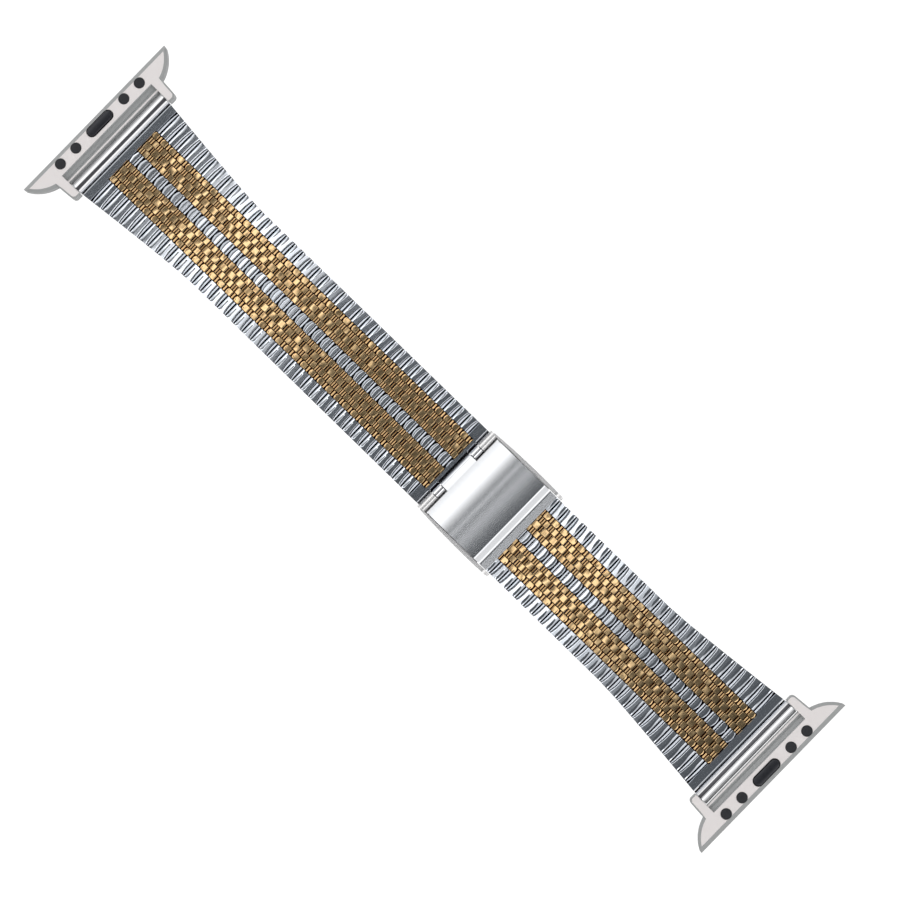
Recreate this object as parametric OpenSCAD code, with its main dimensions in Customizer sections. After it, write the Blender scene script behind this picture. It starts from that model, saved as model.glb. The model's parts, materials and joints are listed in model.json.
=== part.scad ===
// Two-tone folded-link watch bracelet with slide-in case adapters and a ladder clasp.
// It lies flat and straight: X runs along it, Y across it and Z up, millimetres.
// The long half is on the -X side of the clasp, the short half on the +X side.

/* [Rows and links] */
// Distance from one row of beads to the next
row_pitch = 2.1; // [1.9:0.05:2.6]
// Rows carried by one link
rows_per_link = 2; // [2:1:3]
// Links between the clasp and the adapter of the long half
links_a = 18; // [12:1:20]
// Links between the slider and the adapter of the short half
links_b = 12; // [8:1:14]
// Gap between the outer bars of neighbouring links
link_gap = 0.16; // [0.14:0.01:0.22]
// Gap between neighbouring links on the skin side, which lets them curl
skin_gap = 0.18; // [0.16:0.01:0.3]

/* [Band section] */
// Width of the band beside the clasp
band_w = 18.06; // [17.4:0.1:20]
// Length over which the band widens towards an adapter
taper_len = 24.6; // [16:0.2:40]
// How far the widening bends away from a straight line
taper_bend = 1.15; // [1:0.05:1.6]
// Width of the steel column along the middle
centre_w = 2.36; // [2:0.02:3]
// Width of one column of gold beads
gold_w = 1.23; // [1:0.01:1.4]
// Height of the hinge axes above the surface that the bracelet lies on
axis_z = 1.65; // [1.65:0.05:2]
// Depth of a link below its hinge axis
link_under = 1.05; // [0.95:0.05:1.1]
// Height of the largest beads above the hinge axis
bead_top = 1.35; // [1.25:0.05:1.4]

/* [Beads] */
// Length of the short bar or bead in each row
short_bead = 0.45; // [0.35:0.01:0.6]
// Length of the fine beads between the larger ones
fine_bead = 0.3; // [0.24:0.01:0.36]
// Gap between the beads along a column
bead_gap = 0.12; // [0.08:0.01:0.16]
// Groove between the columns
column_groove = 0.08; // [0.04:0.01:0.12]
// Rounding at the edges of the beads
bead_round = 0.1; // [0.06:0.01:0.12]
// How far the wide outer bars spread at the edge of the band, where the narrow ones run out
bar_lean = 0.34; // [0.1:0.02:0.36]
// How far the ends of the steel beads along the middle are bowed
cell_bow = 0.26; // [0.1:0.02:0.3]

/* [Link hinges] */
// Radius of the knuckles under the beads
knuckle_r = 0.7; // [0.6:0.02:0.72]
// Radius of a link pin
link_pin_r = 0.3; // [0.25:0.01:0.36]
// Running clearance round a link pin
pin_fit = 0.05; // [0.04:0.01:0.08]
// How far a link pin's ends lie inside the edges of the band
pin_inset = 0.2; // [0.1:0.05:0.5]

/* [Adapters] */
// Width from horn tip to horn tip
adapter_w = 36.4; // [35:0.1:38]
// Thickness of an adapter
adapter_h = 3.3; // [3.1:0.1:3.3]
// Distance between the inner faces of the two arms
arm_gap = 23.1; // [23:0.1:24]
// Width of an arm
arm_w = 1.9; // [1.6:0.1:2.2]
// Length of an adapter from its watch edge to the ends of its arms
adapter_len = 8.15; // [8:0.05:8.3]
// Length of the flat face behind the watch edge
face_len = 3.5; // [3.2:0.1:3.8]
// Bevel along the watch edge
edge_bevel = 0.85; // [0.5:0.05:1]
// Diameter of the end tube
tube_d = 3; // [2.6:0.1:3.1]
// Distance from the axis of the end tube to the ends of the arms
arm_end = 1.25; // [1.1:0.05:1.4]
// Diameter of the spring bar
bar_d = 1.5; // [1.3:0.1:1.6]
// Diameter of the spring bar's tips
tip_d = 0.8; // [0.7:0.05:0.9]
// Travel of a spring bar tip
tip_travel = 1.2; // [1:0.1:1.3]
// Diameter of a friction pad
pad_d = 2; // [1.6:0.1:2.2]
// Distance from the watch edge to the row of pads
pad_s = 1.75; // [1.7:0.05:1.9]
// Distance of the inner pads from the middle
pad_inner_y = 6.2; // [5.4:0.1:6.6]
// Distance of the outer pads from the middle
pad_outer_y = 10.2; // [9.2:0.1:10.6]
// Length of the sprung lock across the band
lock_len = 6.1; // [5:0.1:7]
// Width of the sprung lock
lock_w = 2; // [1.6:0.1:2.1]
// Height of the sprung lock above the face
lock_proud = 0.35; // [0.2:0.05:0.5]

/* [Clasp] */
// Length of the cover from its hinge end to its lip
cover_len = 16.95; // [16:0.1:19]
// How far the lip reaches over the first link of the short half
cover_over_band = 1.3; // [1:0.1:1.6]
// Thickness of the cover's sheet
cover_t = 0.7; // [0.5:0.05:0.8]
// Height of the cover's crown above the hinge axes
cover_top = 2.75; // [2.6:0.05:3]
// Length of the flat lip beyond the bend
lip_len = 1.6; // [1.4:0.1:1.8]
// Length of the bend between the arch and the lip
bend_len = 1.5; // [1.3:0.1:1.7]
// Width of one side rail
rail_w = 0.7; // [0.6:0.05:0.9]
// Height of the side rails
rail_h = 3.1; // [2.9:0.05:3.2]
// Thickness of the clasp's floor
floor_t = 0.5; // [0.4:0.02:0.5]
// Radius of the clasp's hinge knuckles
clasp_knuckle_r = 1; // [0.9:0.05:1]
// Radius of the clasp's hinge pin
clasp_pin_r = 0.5; // [0.4:0.05:0.55]
// Width of each outer knuckle, one at each edge of the clasp
outer_knuckle_w = 3.15; // [2.6:0.05:3.4]
// Width of each inner knuckle, on the link that joins the long half
inner_knuckle_w = 2.1; // [1.8:0.05:2.4]
// Length of the plain link that joins the long half to the clasp
clasp_link_len = 2.3; // [2.2:0.1:3]
// Length of a slot of the ladder
rung_slot = 1.15; // [1.1:0.05:1.2]
// Number of slots in the ladder
rung_slots = 4; // [3:1:4]

/* [Hidden] */
$fn = 48;
fit = 0.1;               // clearance of parts that slide or swing past each other
seat = 0.02;             // clearance of parts that are pressed or brazed together
pocket = knuckle_r + 0.15;         // room round a neighbour's knuckle
deck = knuckle_r + 0.15;           // height at which the beads clear a knuckle
skirt_top = -knuckle_r - 0.1;      // top of the thin plate under a knuckle
gold_columns = 4;
centre_y = centre_w / 2;
gold_y = centre_y + gold_columns * gold_w;
link_len = rows_per_link * row_pitch;
lug_w = arm_gap - 4 * fit;         // width of the band at its adapters
long_bead = row_pitch - short_bead - 2 * bead_gap;
mid_bead = row_pitch - 2 * fine_bead - 3 * bead_gap;
wide_bead = row_pitch - fine_bead - 2 * bead_gap;

// Where the beads of each kind of column start, after the gap between the outer bars
edge_phase = 0.36;
fine_phase = 0.25;
wide_phase = 0.6;

// Distances from an adapter's watch edge
tube_s = adapter_len - arm_end;
strip_len = 2.38;        // plain strip of the end link with its first bars
end_start = tube_s + tube_d / 2 + 0.12;
first_row_s = end_start + strip_len;
first_hinge_s = first_row_s + row_pitch;
inner_hinge_a = first_hinge_s + links_a * link_len;
inner_hinge_b = first_hinge_s + links_b * link_len;
total_len = inner_hinge_a + clasp_link_len + cover_len - cover_over_band + inner_hinge_b;

// The clasp, measured along X
clasp_x = inner_hinge_a + clasp_link_len - total_len / 2;
clasp_pin_x = clasp_x + clasp_knuckle_r + fit / 2;
slider_hinge_x = total_len / 2 - inner_hinge_b;
rail_in_y = band_w / 2 + 0.16;
rail_out_y = rail_in_y + rail_w;
cover_y = band_w / 2;
outer_knuckle_y = cover_y - outer_knuckle_w;
inner_knuckle_y = outer_knuckle_y - inner_knuckle_w;
floor_end_x = slider_hinge_x - knuckle_r - 0.25;
latch_set = 3.2;                     // from the slider's hinge to the axis of its latch
latch_x = slider_hinge_x - latch_set;
latch_z = 1.75;
latch_len = 4.1;                     // from its axis to its tooth
latch_y = 3.6;                       // half the width of the latch
tooth_len = 0.8;
ladder_x = latch_x - latch_len + 0.1;      // the slot that the tooth stands over at rest

arm_y = arm_gap / 2;
arm_out_y = arm_y + arm_w;
tip_hole_depth = 1.2;
tip_fit = 0.05;

function two_digits(n) = n < 10 ? str("0", n) : str(n);
function link_name(half, n) = str("link_", half, "_", two_digits(n));

// Half the width of the band at distance s from an adapter's watch edge
function half_w(s) =
    let (t = min(max((s - end_start) / taper_len, 0), 1))
    band_w / 2 + (lug_w - band_w) / 2 * pow(1 - t, taper_bend);

// Places a piece that is drawn with X pointing from the adapter to the clasp.
// s is its distance from the watch edge of its half's adapter.
module on_half(half, s) {
    if (half == "a")
        translate([s - total_len / 2, 0, axis_z]) children();
    else
        translate([total_len / 2 - s, 0, axis_z]) mirror([1, 0, 0]) children();
}

// A cylinder along Y between y0 and y1
module rod(r, y0, y1) {
    translate([0, y1, 0]) rotate([90, 0, 0]) cylinder(r = r, h = y1 - y0);
}

// A box between two corners
module block(low, high) {
    translate(low) cube(high - low);
}

// What is drawn in X and Z, drawn out from y0 to y1
module slab(y0, y1) {
    translate([0, y1, 0]) rotate([90, 0, 0]) linear_extrude(y1 - y0) children();
}

module along_y(points, y0, y1) {
    slab(y0, y1) polygon(points);
}

// The same shape on both sides of the middle
module both_sides() {
    children();
    mirror([0, 1, 0]) children();
}

// The bevelled top of one bead
function bead_points(x0, x1, top) = [
    [x0, bead_floor], [x0, top - bead_round], [x0 + bead_round, top],
    [x1 - bead_round, top], [x1, top - bead_round], [x1, bead_floor]];

// The beads of one column as [start, end, height]: so many rows of a pattern, of which
// only what lies between from and to is kept
function starts(pattern, n = 0) =
    n == 0 ? bead_gap / 2 : starts(pattern, n - 1) + pattern[n - 1][0] + bead_gap;
function column(pattern, phase, rows, from, to) = [
    for (row = rows, n = [0 : len(pattern) - 1])
        let (x = row * row_pitch + phase + starts(pattern, n),
             x0 = max(x, from),
             x1 = min(x + pattern[n][0], to))
        if (x1 - x0 > 2.4 * bead_round) [x0, x1, pattern[n][1]]];
function bead_line(beads) = [for (b = beads) each bead_points(b[0], b[1], b[2])];

bar_top = bead_top - 0.05;
low_top = bead_top - 0.1;
cell_rows = [[short_bead, bead_top - 0.1], [long_bead, bead_top]];
fine_rows = [[mid_bead, bead_top - 0.06], [fine_bead, bead_top - 0.16], [fine_bead, bead_top - 0.16]];
wide_rows = [[fine_bead, bead_top - 0.16], [wide_bead, bead_top]];
bead_floor = deck + 0.1;

// The skin side of a link, with a V groove between its rows
function under_line(from, to) = concat(
    [[from, -link_under]],
    [for (x = [row_pitch : row_pitch : to - pocket])
        each [[x - 0.12, -link_under], [x, -link_under + 0.3], [x + 0.12, -link_under]]],
    [[to, -link_under]]);

// A link's section where it holds its own pin, at x = len, and clears its
// neighbour's knuckles at x = 0
module holding_section(len, floor_from, floor_to) {
    right = len - skin_gap / 2;
    difference() {
        union() {
            polygon(concat(
                under_line(skin_gap / 2, right),
                [[right, deck], [floor_to, deck], [floor_to, bead_floor], [floor_from, bead_floor],
                 [floor_from, deck], [pocket, deck], [pocket, skirt_top], [skin_gap / 2, skirt_top]]));
            translate([len, 0]) circle(knuckle_r);
        }
        translate([len, 0]) circle(link_pin_r + seat);
    }
}

// A link's section where its knuckles turn on its neighbour's pin, at x = 0
module turning_section(len) {
    right = len - skin_gap / 2;
    difference() {
        union() {
            polygon(concat(
                under_line(skin_gap / 2, right),
                [[right, skirt_top], [len - pocket, skirt_top], [len - pocket, deck - seat],
                 [pocket, deck - seat], [pocket, knuckle_r], [0, knuckle_r], [0, 0], [skin_gap / 2, 0]]));
            circle(knuckle_r);
        }
        circle(link_pin_r + pin_fit);
    }
}

// A link's section between its own and its neighbour's knuckles
module plain_section(len) {
    right = len - skin_gap / 2;
    polygon(concat(
        under_line(skin_gap / 2, right),
        [[right, skirt_top], [len - pocket, skirt_top], [len - pocket, deck - seat],
         [pocket, deck - seat], [pocket, skirt_top], [skin_gap / 2, skirt_top]]));
}
function reversed(points) = [for (n = [len(points) - 1 : -1 : 0]) points[n]];

// Keeps what lies inside the band's tapered edges
module trim_to_band(s, from, to) {
    if (half_w(s + from) > band_w / 2)
        intersection() {
            children();
            translate([0, 0, -2 * link_under]) linear_extrude(4 * link_under)
                polygon(concat(
                    [for (x = [from, 0, to]) [x, -half_w(s + x)]],
                    [for (x = [to, 0, from]) [x, half_w(s + x)]]));
        }
    else
        children();
}

// Half the width that a piece is drawn with before it is trimmed
function drawn_w(s) = half_w(s) > band_w / 2 ? half_w(s) + 0.2 : band_w / 2;

// The gold beads of one side, on the strip that holds them together
gold_kinds = [[fine_rows, fine_phase], [wide_rows, wide_phase], [fine_rows, fine_phase], [cell_rows, edge_phase]];
module gold_beads(rows, from, to, strip) {
    color("goldenrod") for (n = [0 : gold_columns - 1]) {
        y = centre_y + n * gold_w;
        beads = column(gold_kinds[n][0], gold_kinds[n][1], rows, from, to);
        along_y(concat([[beads[0][0], deck]], bead_line(beads), [[beads[len(beads) - 1][1], deck]]),
            y + column_groove / 2, y + gold_w - column_groove / 2);
        if (n > 0)
            along_y([[strip[0], deck], [strip[0], bead_floor], [strip[1], bead_floor], [strip[1], deck]],
                y - column_groove / 2, y + column_groove / 2);
    }
}

// A bar or bead with this outline from above, standing on the floor under it
module upright(top, outline) {
    translate([0, 0, deck]) linear_extrude(top - deck) polygon(outline);
}

// The bars outside the gold beads, on one side. The wide one of each row spreads towards
// the edge of the band, and the narrow one runs out to a point.
bar_steps = 4;
function bar_end(share) = bead_gap / 2 + long_bead + bar_lean * share * share;
module side_bars(s, rows, from, to) {
    inner = gold_y + fit / 2;
    edge = half_w(s + row_pitch);
    outer = drawn_w(s);
    shares = [for (n = [0 : bar_steps]) n / bar_steps];
    for (row = rows) {
        x = row * row_pitch;
        left = max(x + bead_gap / 2, from);
        right = min(x + row_pitch - bead_gap / 2, to);
        upright(bar_top, concat([[left, outer], [left, inner]],
            [for (t = shares) [x + bar_end(t), inner + (edge - inner) * t]], [[x + bar_end(1), outer]]));
        upright(low_top, concat([[right, inner], [right, outer], [x + bar_end(1) + bead_gap, outer]],
            [for (t = reversed(shares)) [x + bar_end(t) + bead_gap, inner + (edge - inner) * t]]));
    }
}

// The steel beads along the middle, with bowed ends
cell_steps = 3;
module centre_cells(rows, from, to) {
    half = centre_y - fit / 2;
    shares = [for (n = [-cell_steps : cell_steps]) n / cell_steps];
    for (b = column(cell_rows, edge_phase, rows, from, to)) {
        long = b[2] == bead_top;
        left = long ? cell_bow : 0;
        right = long ? 0 : cell_bow;
        upright(b[2], concat(
            [for (t = shares) [b[0] + left * t * t, half * t]],
            [for (t = reversed(shares)) [b[1] + right * t * t, half * t]]));
    }
}

// One link: its steel, its gold beads and its pin
module band_link(s) {
    rows = [0 : rows_per_link - 1];
    from = link_gap / 2;
    to = link_len - link_gap / 2;
    reach = link_len + row_pitch;
    inner = [centre_y, gold_y];
    first_cell = edge_phase + bead_gap / 2;
    color("lightsteelblue") {
        slab(-inner[0] + fit / 2, inner[0] - fit / 2)
            holding_section(link_len, first_cell, link_len + first_cell - bead_gap);
        centre_cells(rows, 0, reach);
        both_sides() {
            for (y = inner)
                slab(y - fit / 2, y + fit / 2) plain_section(link_len);
            slab(inner[0] + fit / 2, inner[1] - fit / 2) turning_section(link_len);
            trim_to_band(s, 0, link_len + 1) {
                slab(inner[1] + fit / 2, drawn_w(s)) holding_section(link_len, from, to);
                side_bars(s, rows, from, to);
            }
        }
    }
    both_sides() gold_beads(rows, 0, reach, [pocket, link_len - bead_gap]);
    link_pin(s + link_len, link_len);
}

module link_pin(s, x) {
    reach = half_w(s) - pin_inset;
    color("silver") translate([x, 0, 0]) rod(link_pin_r, -reach, reach);
}

// The first link beside an adapter: a plain strip, one row and its own pin
gold_lead = 0.9;         // how far the gold beads reach past the first bar of an end link
module end_link(half) {
    from = -gold_lead + bead_gap / 2;
    reach = 2 * row_pitch;
    inner = [centre_y, gold_y];
    on_half(half, first_row_s) {
        color("lightsteelblue") {
            slab(-inner[0] + fit / 2, inner[0] - fit / 2)
                end_section(row_pitch + edge_phase - bead_gap / 2);
            centre_cells([-1, 0], from, reach);
            both_sides() {
                slab(inner[0] - fit / 2, inner[1] + fit / 2) end_plain_section();
                trim_to_band(first_row_s, -strip_len, row_pitch + 1) {
                    slab(inner[1] + fit / 2, drawn_w(end_start)) end_section(row_pitch - link_gap / 2);
                    side_bars(end_start, [-1, 0], -strip_len + 2 * bead_round, row_pitch - link_gap / 2);
                }
            }
        }
        both_sides() gold_beads([-1, 0], from, reach, [from, row_pitch - bead_gap]);
        link_pin(first_hinge_s, row_pitch);
    }
}

// The end link's neck reaches to the tube, to which it is brazed
module end_neck() {
    difference() {
        polygon([[-strip_len - 0.5, -0.55], [-strip_len + 0.2, -0.55],
            [-strip_len + 0.2, 0.55], [-strip_len - 0.5, 0.55]]);
        translate([tube_s - first_row_s, 0]) circle(tube_d / 2 + seat);
    }
}
strip_top = bar_top;
strip_line = [[-gold_lead, strip_top - bead_round], [-gold_lead - bead_round, strip_top],
    [-strip_len + bead_round, strip_top], [-strip_len, strip_top - bead_round],
    [-strip_len, -link_under + 0.2], [-strip_len + 0.2, -link_under]];
module end_section(floor_to) {
    right = row_pitch - skin_gap / 2;
    difference() {
        union() {
            polygon(concat(
                [[right, -link_under], [right, deck], [floor_to, deck], [floor_to, bead_floor],
                 [-gold_lead, bead_floor]], strip_line));
            translate([row_pitch, 0]) circle(knuckle_r);
            end_neck();
        }
        translate([row_pitch, 0]) circle(link_pin_r + seat);
    }
}
module end_plain_section() {
    right = row_pitch - skin_gap / 2;
    union() {
        polygon(concat(
            [[right, -link_under], [right, skirt_top], [row_pitch - pocket, skirt_top],
             [row_pitch - pocket, deck - seat], [-gold_lead, deck - seat]], strip_line));
        end_neck();
    }
}

// The tube that turns on the spring bar
module end_tube(half) {
    color("silver") on_half(half, tube_s) difference() {
        rod(tube_d / 2, -arm_y + fit, arm_y - fit);
        rod(bar_d / 2 + pin_fit, -arm_y, arm_y);
    }
}

// The spring bar's barrel, closed in at both ends round the tips
module spring_bar(half) {
    reach = arm_y - fit;
    color("gainsboro") on_half(half, tube_s) difference() {
        rod(bar_d / 2, -reach, reach);
        rod(bar_d / 2 - 0.2, -reach + 0.6, reach - 0.6);
        rod(tip_d / 2 + tip_fit, -arm_y, arm_y);
    }
}

bar_collar_r = bar_d / 2 - 0.2 - tip_fit;
bar_collar_y = arm_y - fit - 0.6;        // inner face of the barrel's closed end

module bar_tip(half, side) {
    color("silver") on_half(half, tube_s) mirror([0, side < 0 ? 1 : 0, 0]) {
        rod(tip_d / 2, bar_collar_y - 0.9, arm_y + tip_hole_depth - fit);
        rod(bar_collar_r, bar_collar_y - 0.9, bar_collar_y - seat);
    }
}

module bar_spring(half) {
    reach = bar_collar_y - 0.9 - tip_travel - seat;
    color("dimgray") on_half(half, tube_s) difference() {
        rod(bar_collar_r, -reach, reach);
        rod(bar_collar_r - 0.2, -reach - 1, reach + 1);
    }
}

// Outline of an adapter from above, with its convex horns and its two arms
horn_s = 4.2;            // where a horn meets its arm
horn_bulge = 0.6;
horn_bevel = 0.5;
horn_tip = [0.6, adapter_w / 2 - 0.1];
horn_root = [horn_s, arm_out_y];
horn_chord = norm(horn_root - horn_tip);
horn_r = (horn_chord * horn_chord / 4 + horn_bulge * horn_bulge) / (2 * horn_bulge);
horn_out = [horn_tip[1] - horn_root[1], horn_root[0] - horn_tip[0]] / horn_chord;
horn_centre = (horn_tip + horn_root) / 2 - horn_out * (horn_r - horn_bulge);

// A disc round the centre of a horn's curve, with both edges bevelled
module horn_disc() {
    translate(horn_centre) rotate_extrude($fn = 96)
        polygon([[0, -adapter_h / 2], [horn_r - horn_bevel, -adapter_h / 2], [horn_r, horn_bevel - adapter_h / 2],
            [horn_r, adapter_h / 2 - horn_bevel], [horn_r - horn_bevel, adapter_h / 2], [0, adapter_h / 2]]);
}

// The plate and its arms, bevelled along the outer edges of the arms
arm_bevel = 0.3;
module plate_and_arms() {
    y = arm_out_y;
    z = adapter_h / 2;
    block([-fit, -y, -z], [horn_s, y, z]);
    translate([horn_s - seat, 0, 0]) rotate([90, 0, 90]) linear_extrude(adapter_len)
        polygon([[-y + arm_bevel, -z], [y - arm_bevel, -z], [y, -z + arm_bevel], [y, z - arm_bevel],
            [y - arm_bevel, z], [-y + arm_bevel, z], [-y, z - arm_bevel], [-y, -z + arm_bevel]]);
}
function adapter_half() = concat(
    [[0, adapter_w / 2], [horn_s, adapter_w / 2], [horn_s, arm_out_y]],
    [[adapter_len - 0.5, arm_out_y - 0.25], [adapter_len - 0.15, arm_out_y - 0.4],
     [adapter_len, arm_out_y - 0.75], [adapter_len, arm_y]]);
function flipped(points) = [for (n = [len(points) - 1 : -1 : 0]) [points[n][0], -points[n][1]]];

// The section along X: a bevel at the watch edge, the flat face, a hollow that falls
// to a small lip, and the seat round the end tube
module adapter_section() {
    top = adapter_h / 2;
    lip_s = tube_s - tube_d / 2 - 0.2;
    along_y([[0, -top + 1.1 * edge_bevel], [edge_bevel, -top], [lip_s, -top],
        [lip_s, 0.75], [lip_s - 0.5, 0.85], [face_len + 0.6, 0.45], [face_len, top],
        [edge_bevel, top], [0, top - 1.1 * edge_bevel]], -arm_y - seat, arm_y + seat);
    both_sides()
        along_y([[0, -top + 1.1 * edge_bevel], [edge_bevel, -top], [adapter_len - 0.5, -top],
            [adapter_len, -top + 0.5], [adapter_len, top - 0.5], [adapter_len - 0.5, top],
            [edge_bevel, top], [0, top - 1.1 * edge_bevel]], arm_y, adapter_w);
}

lock_hole_depth = 2.4;
module adapter(half) {
    color("mistyrose") on_half(half, 0) difference() {
        intersection() {
            adapter_section();
            translate([0, 0, -adapter_h]) linear_extrude(2 * adapter_h)
                polygon(concat(adapter_half(), flipped(adapter_half())));
            union() {
                both_sides() horn_disc();
                plate_and_arms();
            }
        }
        translate([tube_s, 0, 0]) rod(tube_d / 2 + 0.2, -arm_y, arm_y);
        both_sides() translate([tube_s, 0, 0])
            rod(tip_d / 2 + tip_fit, arm_y - 1, arm_y + tip_hole_depth);
        both_sides() for (y = [pad_inner_y, pad_outer_y])
            translate([pad_s, y, adapter_h / 2 - pad_depth]) cylinder(r = pad_d / 2 + seat, h = 2);
        translate([0, 0, adapter_h / 2 - lock_hole_depth])
            obround(lock_len + 2 * fit, lock_w + 2 * fit, lock_hole_depth - lock_lip);
        translate([0, 0, adapter_h / 2 - lock_hole_depth])
            obround(lock_len - 2 * lock_ledge + 2 * fit, lock_w - 2 * lock_ledge + 2 * fit, adapter_h);
    }
}

// An upright shape with round ends, long across the band
module obround(length, width, height) {
    translate([pad_s, 0, 0]) {
        both_sides() translate([0, (length - width) / 2, 0]) cylinder(r = width / 2, h = height);
        block([-width / 2, -(length - width) / 2, 0], [width / 2, (length - width) / 2, height]);
    }
}

pad_depth = 1;
pad_proud = 0.12;
module pads(half) {
    color("dimgray") on_half(half, 0) both_sides() for (y = [pad_inner_y, pad_outer_y])
        translate([pad_s, y, adapter_h / 2 - pad_depth + seat])
            cylinder(r = pad_d / 2, h = pad_depth - seat + pad_proud);
}

// The sprung lock is wider below, where the adapter's lip holds it in
lock_ledge = 0.15;
lock_lip = 0.5;
lock_foot = 0.7;
lock_travel = 0.5;
lock_spring_r = 0.7;
lock_spring_t = 0.2;
module lock(half) {
    foot = adapter_h / 2 - lock_lip - fit / 2;
    color("darkslategray") on_half(half, 0) {
        translate([0, 0, foot - lock_foot]) obround(lock_len, lock_w, lock_foot);
        translate([0, 0, foot - lock_foot])
            obround(lock_len - 2 * lock_ledge, lock_w - 2 * lock_ledge,
                lock_foot + fit / 2 + lock_lip + lock_proud);
    }
}

// Two short springs under the lock
module lock_spring(half) {
    low = adapter_h / 2 - lock_hole_depth + seat;
    high = adapter_h / 2 - lock_lip - fit / 2 - lock_foot - seat;
    height = high - low;
    color("dimgray") on_half(half, 0) both_sides()
        translate([pad_s, lock_len / 4, low]) difference() {
            cylinder(r = lock_spring_r, h = height);
            translate([0, 0, -height]) cylinder(r = lock_spring_r - lock_spring_t, h = 3 * height);
        }
}

// The clasp's base: a floor with the slots of the ladder, two bowed side rails with a
// groove for the slider, and a roll at each corner of the hinge end
rail_end_x = clasp_x + cover_len + 0.9;
rail_bow_r = 150;
ear_y = rail_in_y + 0.28;
guide_low = 1.25;        // the groove's tongue, measured up from what the bracelet lies on
guide_high = 2.05;
guide_w = 0.25;
groove_start = 4;        // from the clasp's pin to the inner end of the groove
module clasp_base() {
    color("silver") difference() {
        union() {
            block([clasp_pin_x, -rail_in_y - seat, 0], [floor_end_x, rail_in_y + seat, floor_t]);
            both_sides() {
                rail();
                slab(outer_knuckle_y + fit / 2, ear_y) translate([clasp_pin_x, axis_z]) {
                    circle(clasp_knuckle_r);
                    polygon([[0, -axis_z], [clasp_knuckle_r + 0.4, -axis_z], [clasp_knuckle_r, 0], [0, 0]]);
                }
            }
        }
        translate([clasp_pin_x, 0, axis_z]) rod(clasp_pin_r + seat, -rail_out_y, rail_out_y);
        for (n = [-1 : rung_slots - 2])
            block([ladder_x + n * row_pitch - rung_slot / 2, -latch_y - 0.5, -1],
                [ladder_x + n * row_pitch + rung_slot / 2, latch_y + 0.5, floor_t + 1]);
        both_sides()
            block([clasp_pin_x + groove_start, rail_in_y - rail_w, guide_low - fit],
                [rail_end_x + rail_w, rail_in_y + guide_w, guide_high + fit]);
    }
}

module rail() {
    intersection() {
        slab(rail_in_y, rail_out_y) {
            polygon([[clasp_pin_x, 0], [rail_end_x - rail_h / 2, 0],
                [rail_end_x - rail_h / 2, rail_h], [clasp_pin_x, rail_h]]);
            translate([rail_end_x - rail_h / 2, rail_h / 2]) circle(rail_h / 2);
        }
        translate([(clasp_pin_x + rail_end_x) / 2 + 2, rail_out_y - rail_bow_r, -1])
            cylinder(r = rail_bow_r, h = rail_h + 2, $fn = 200);
    }
}

module clasp_pin() {
    reach = ear_y - 0.05;
    color("silver") translate([clasp_pin_x, 0, axis_z]) rod(clasp_pin_r, -reach, reach);
}

// The plain link that joins the long half to the clasp, with two inner knuckles
clasp_strip = 1.4;       // where the plain strip of the clasp link starts
clasp_link_end = clasp_link_len - fit;
clasp_pin_local = clasp_pin_x + total_len / 2 - inner_hinge_a;
module clasp_link() {
    edge = band_w / 2;
    from = link_gap / 2;
    on_half("a", inner_hinge_a) {
        color("lightsteelblue") {
            slab(-centre_y + fit / 2, centre_y - fit / 2)
                clasp_link_section([[edge_phase + bead_gap / 2, bead_floor], [clasp_strip, bead_floor]]);
            centre_cells([0], 0, clasp_strip - bead_gap / 2);
            both_sides() {
                slab(centre_y - fit / 2, centre_y + fit / 2) clasp_link_plain();
                slab(centre_y + fit / 2, inner_knuckle_y + fit / 2) clasp_link_turning();
                slab(inner_knuckle_y + fit / 2, outer_knuckle_y - fit / 2) clasp_link_knuckle();
                slab(outer_knuckle_y - fit / 2, gold_y - fit / 2) clasp_link_turning();
                slab(gold_y - fit / 2, gold_y + fit / 2) clasp_link_plain();
                slab(gold_y + fit / 2, edge)
                    clasp_link_section([[from, bar_top - bead_round], [from + bead_round, bar_top],
                        [clasp_strip, bar_top], [clasp_strip + bead_round, clasp_strip_top]]);
            }
        }
        both_sides() gold_beads([0], 0, clasp_strip - bead_gap / 2, [pocket, clasp_strip - bead_gap / 2]);
    }
}

// Its sections: everywhere, under the steel beads, on the band's pin, on the clasp's pin
clasp_strip_top = bead_top - 0.25;
clasp_strip_line = [[clasp_strip + bead_round, clasp_strip_top], [clasp_link_end - 0.35, clasp_strip_top],
    [clasp_link_end, clasp_strip_top - 0.65], [clasp_link_end, -0.8], [clasp_link_end - 0.25, -link_under],
    [skin_gap / 2, -link_under], [skin_gap / 2, skirt_top], [pocket, skirt_top]];
module clasp_link_plain() {
    polygon(concat([[pocket, deck - seat], [clasp_strip + bead_round, deck - seat]], clasp_strip_line));
}
module clasp_link_section(top_line) {
    polygon(concat([[pocket, deck], [top_line[0][0], deck]], top_line, clasp_strip_line));
}
module clasp_link_turning() {
    difference() {
        union() {
            clasp_link_plain();
            circle(knuckle_r);
            polygon([[skin_gap / 2, -link_under], [pocket + 0.1, -link_under], [pocket + 0.1, knuckle_r],
                [0, knuckle_r], [0, 0], [skin_gap / 2, 0]]);
        }
        circle(link_pin_r + pin_fit);
    }
}
module clasp_link_knuckle() {
    difference() {
        union() {
            clasp_link_turning();
            translate([clasp_pin_local, 0]) circle(clasp_knuckle_r);
            polygon([[clasp_link_end - 0.2, -0.6], [clasp_pin_local, -0.6], [clasp_pin_local, 0.6],
                [clasp_link_end - 0.2, 0.6]]);
        }
        translate([clasp_pin_local, 0]) circle(clasp_pin_r + pin_fit);
    }
}

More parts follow.
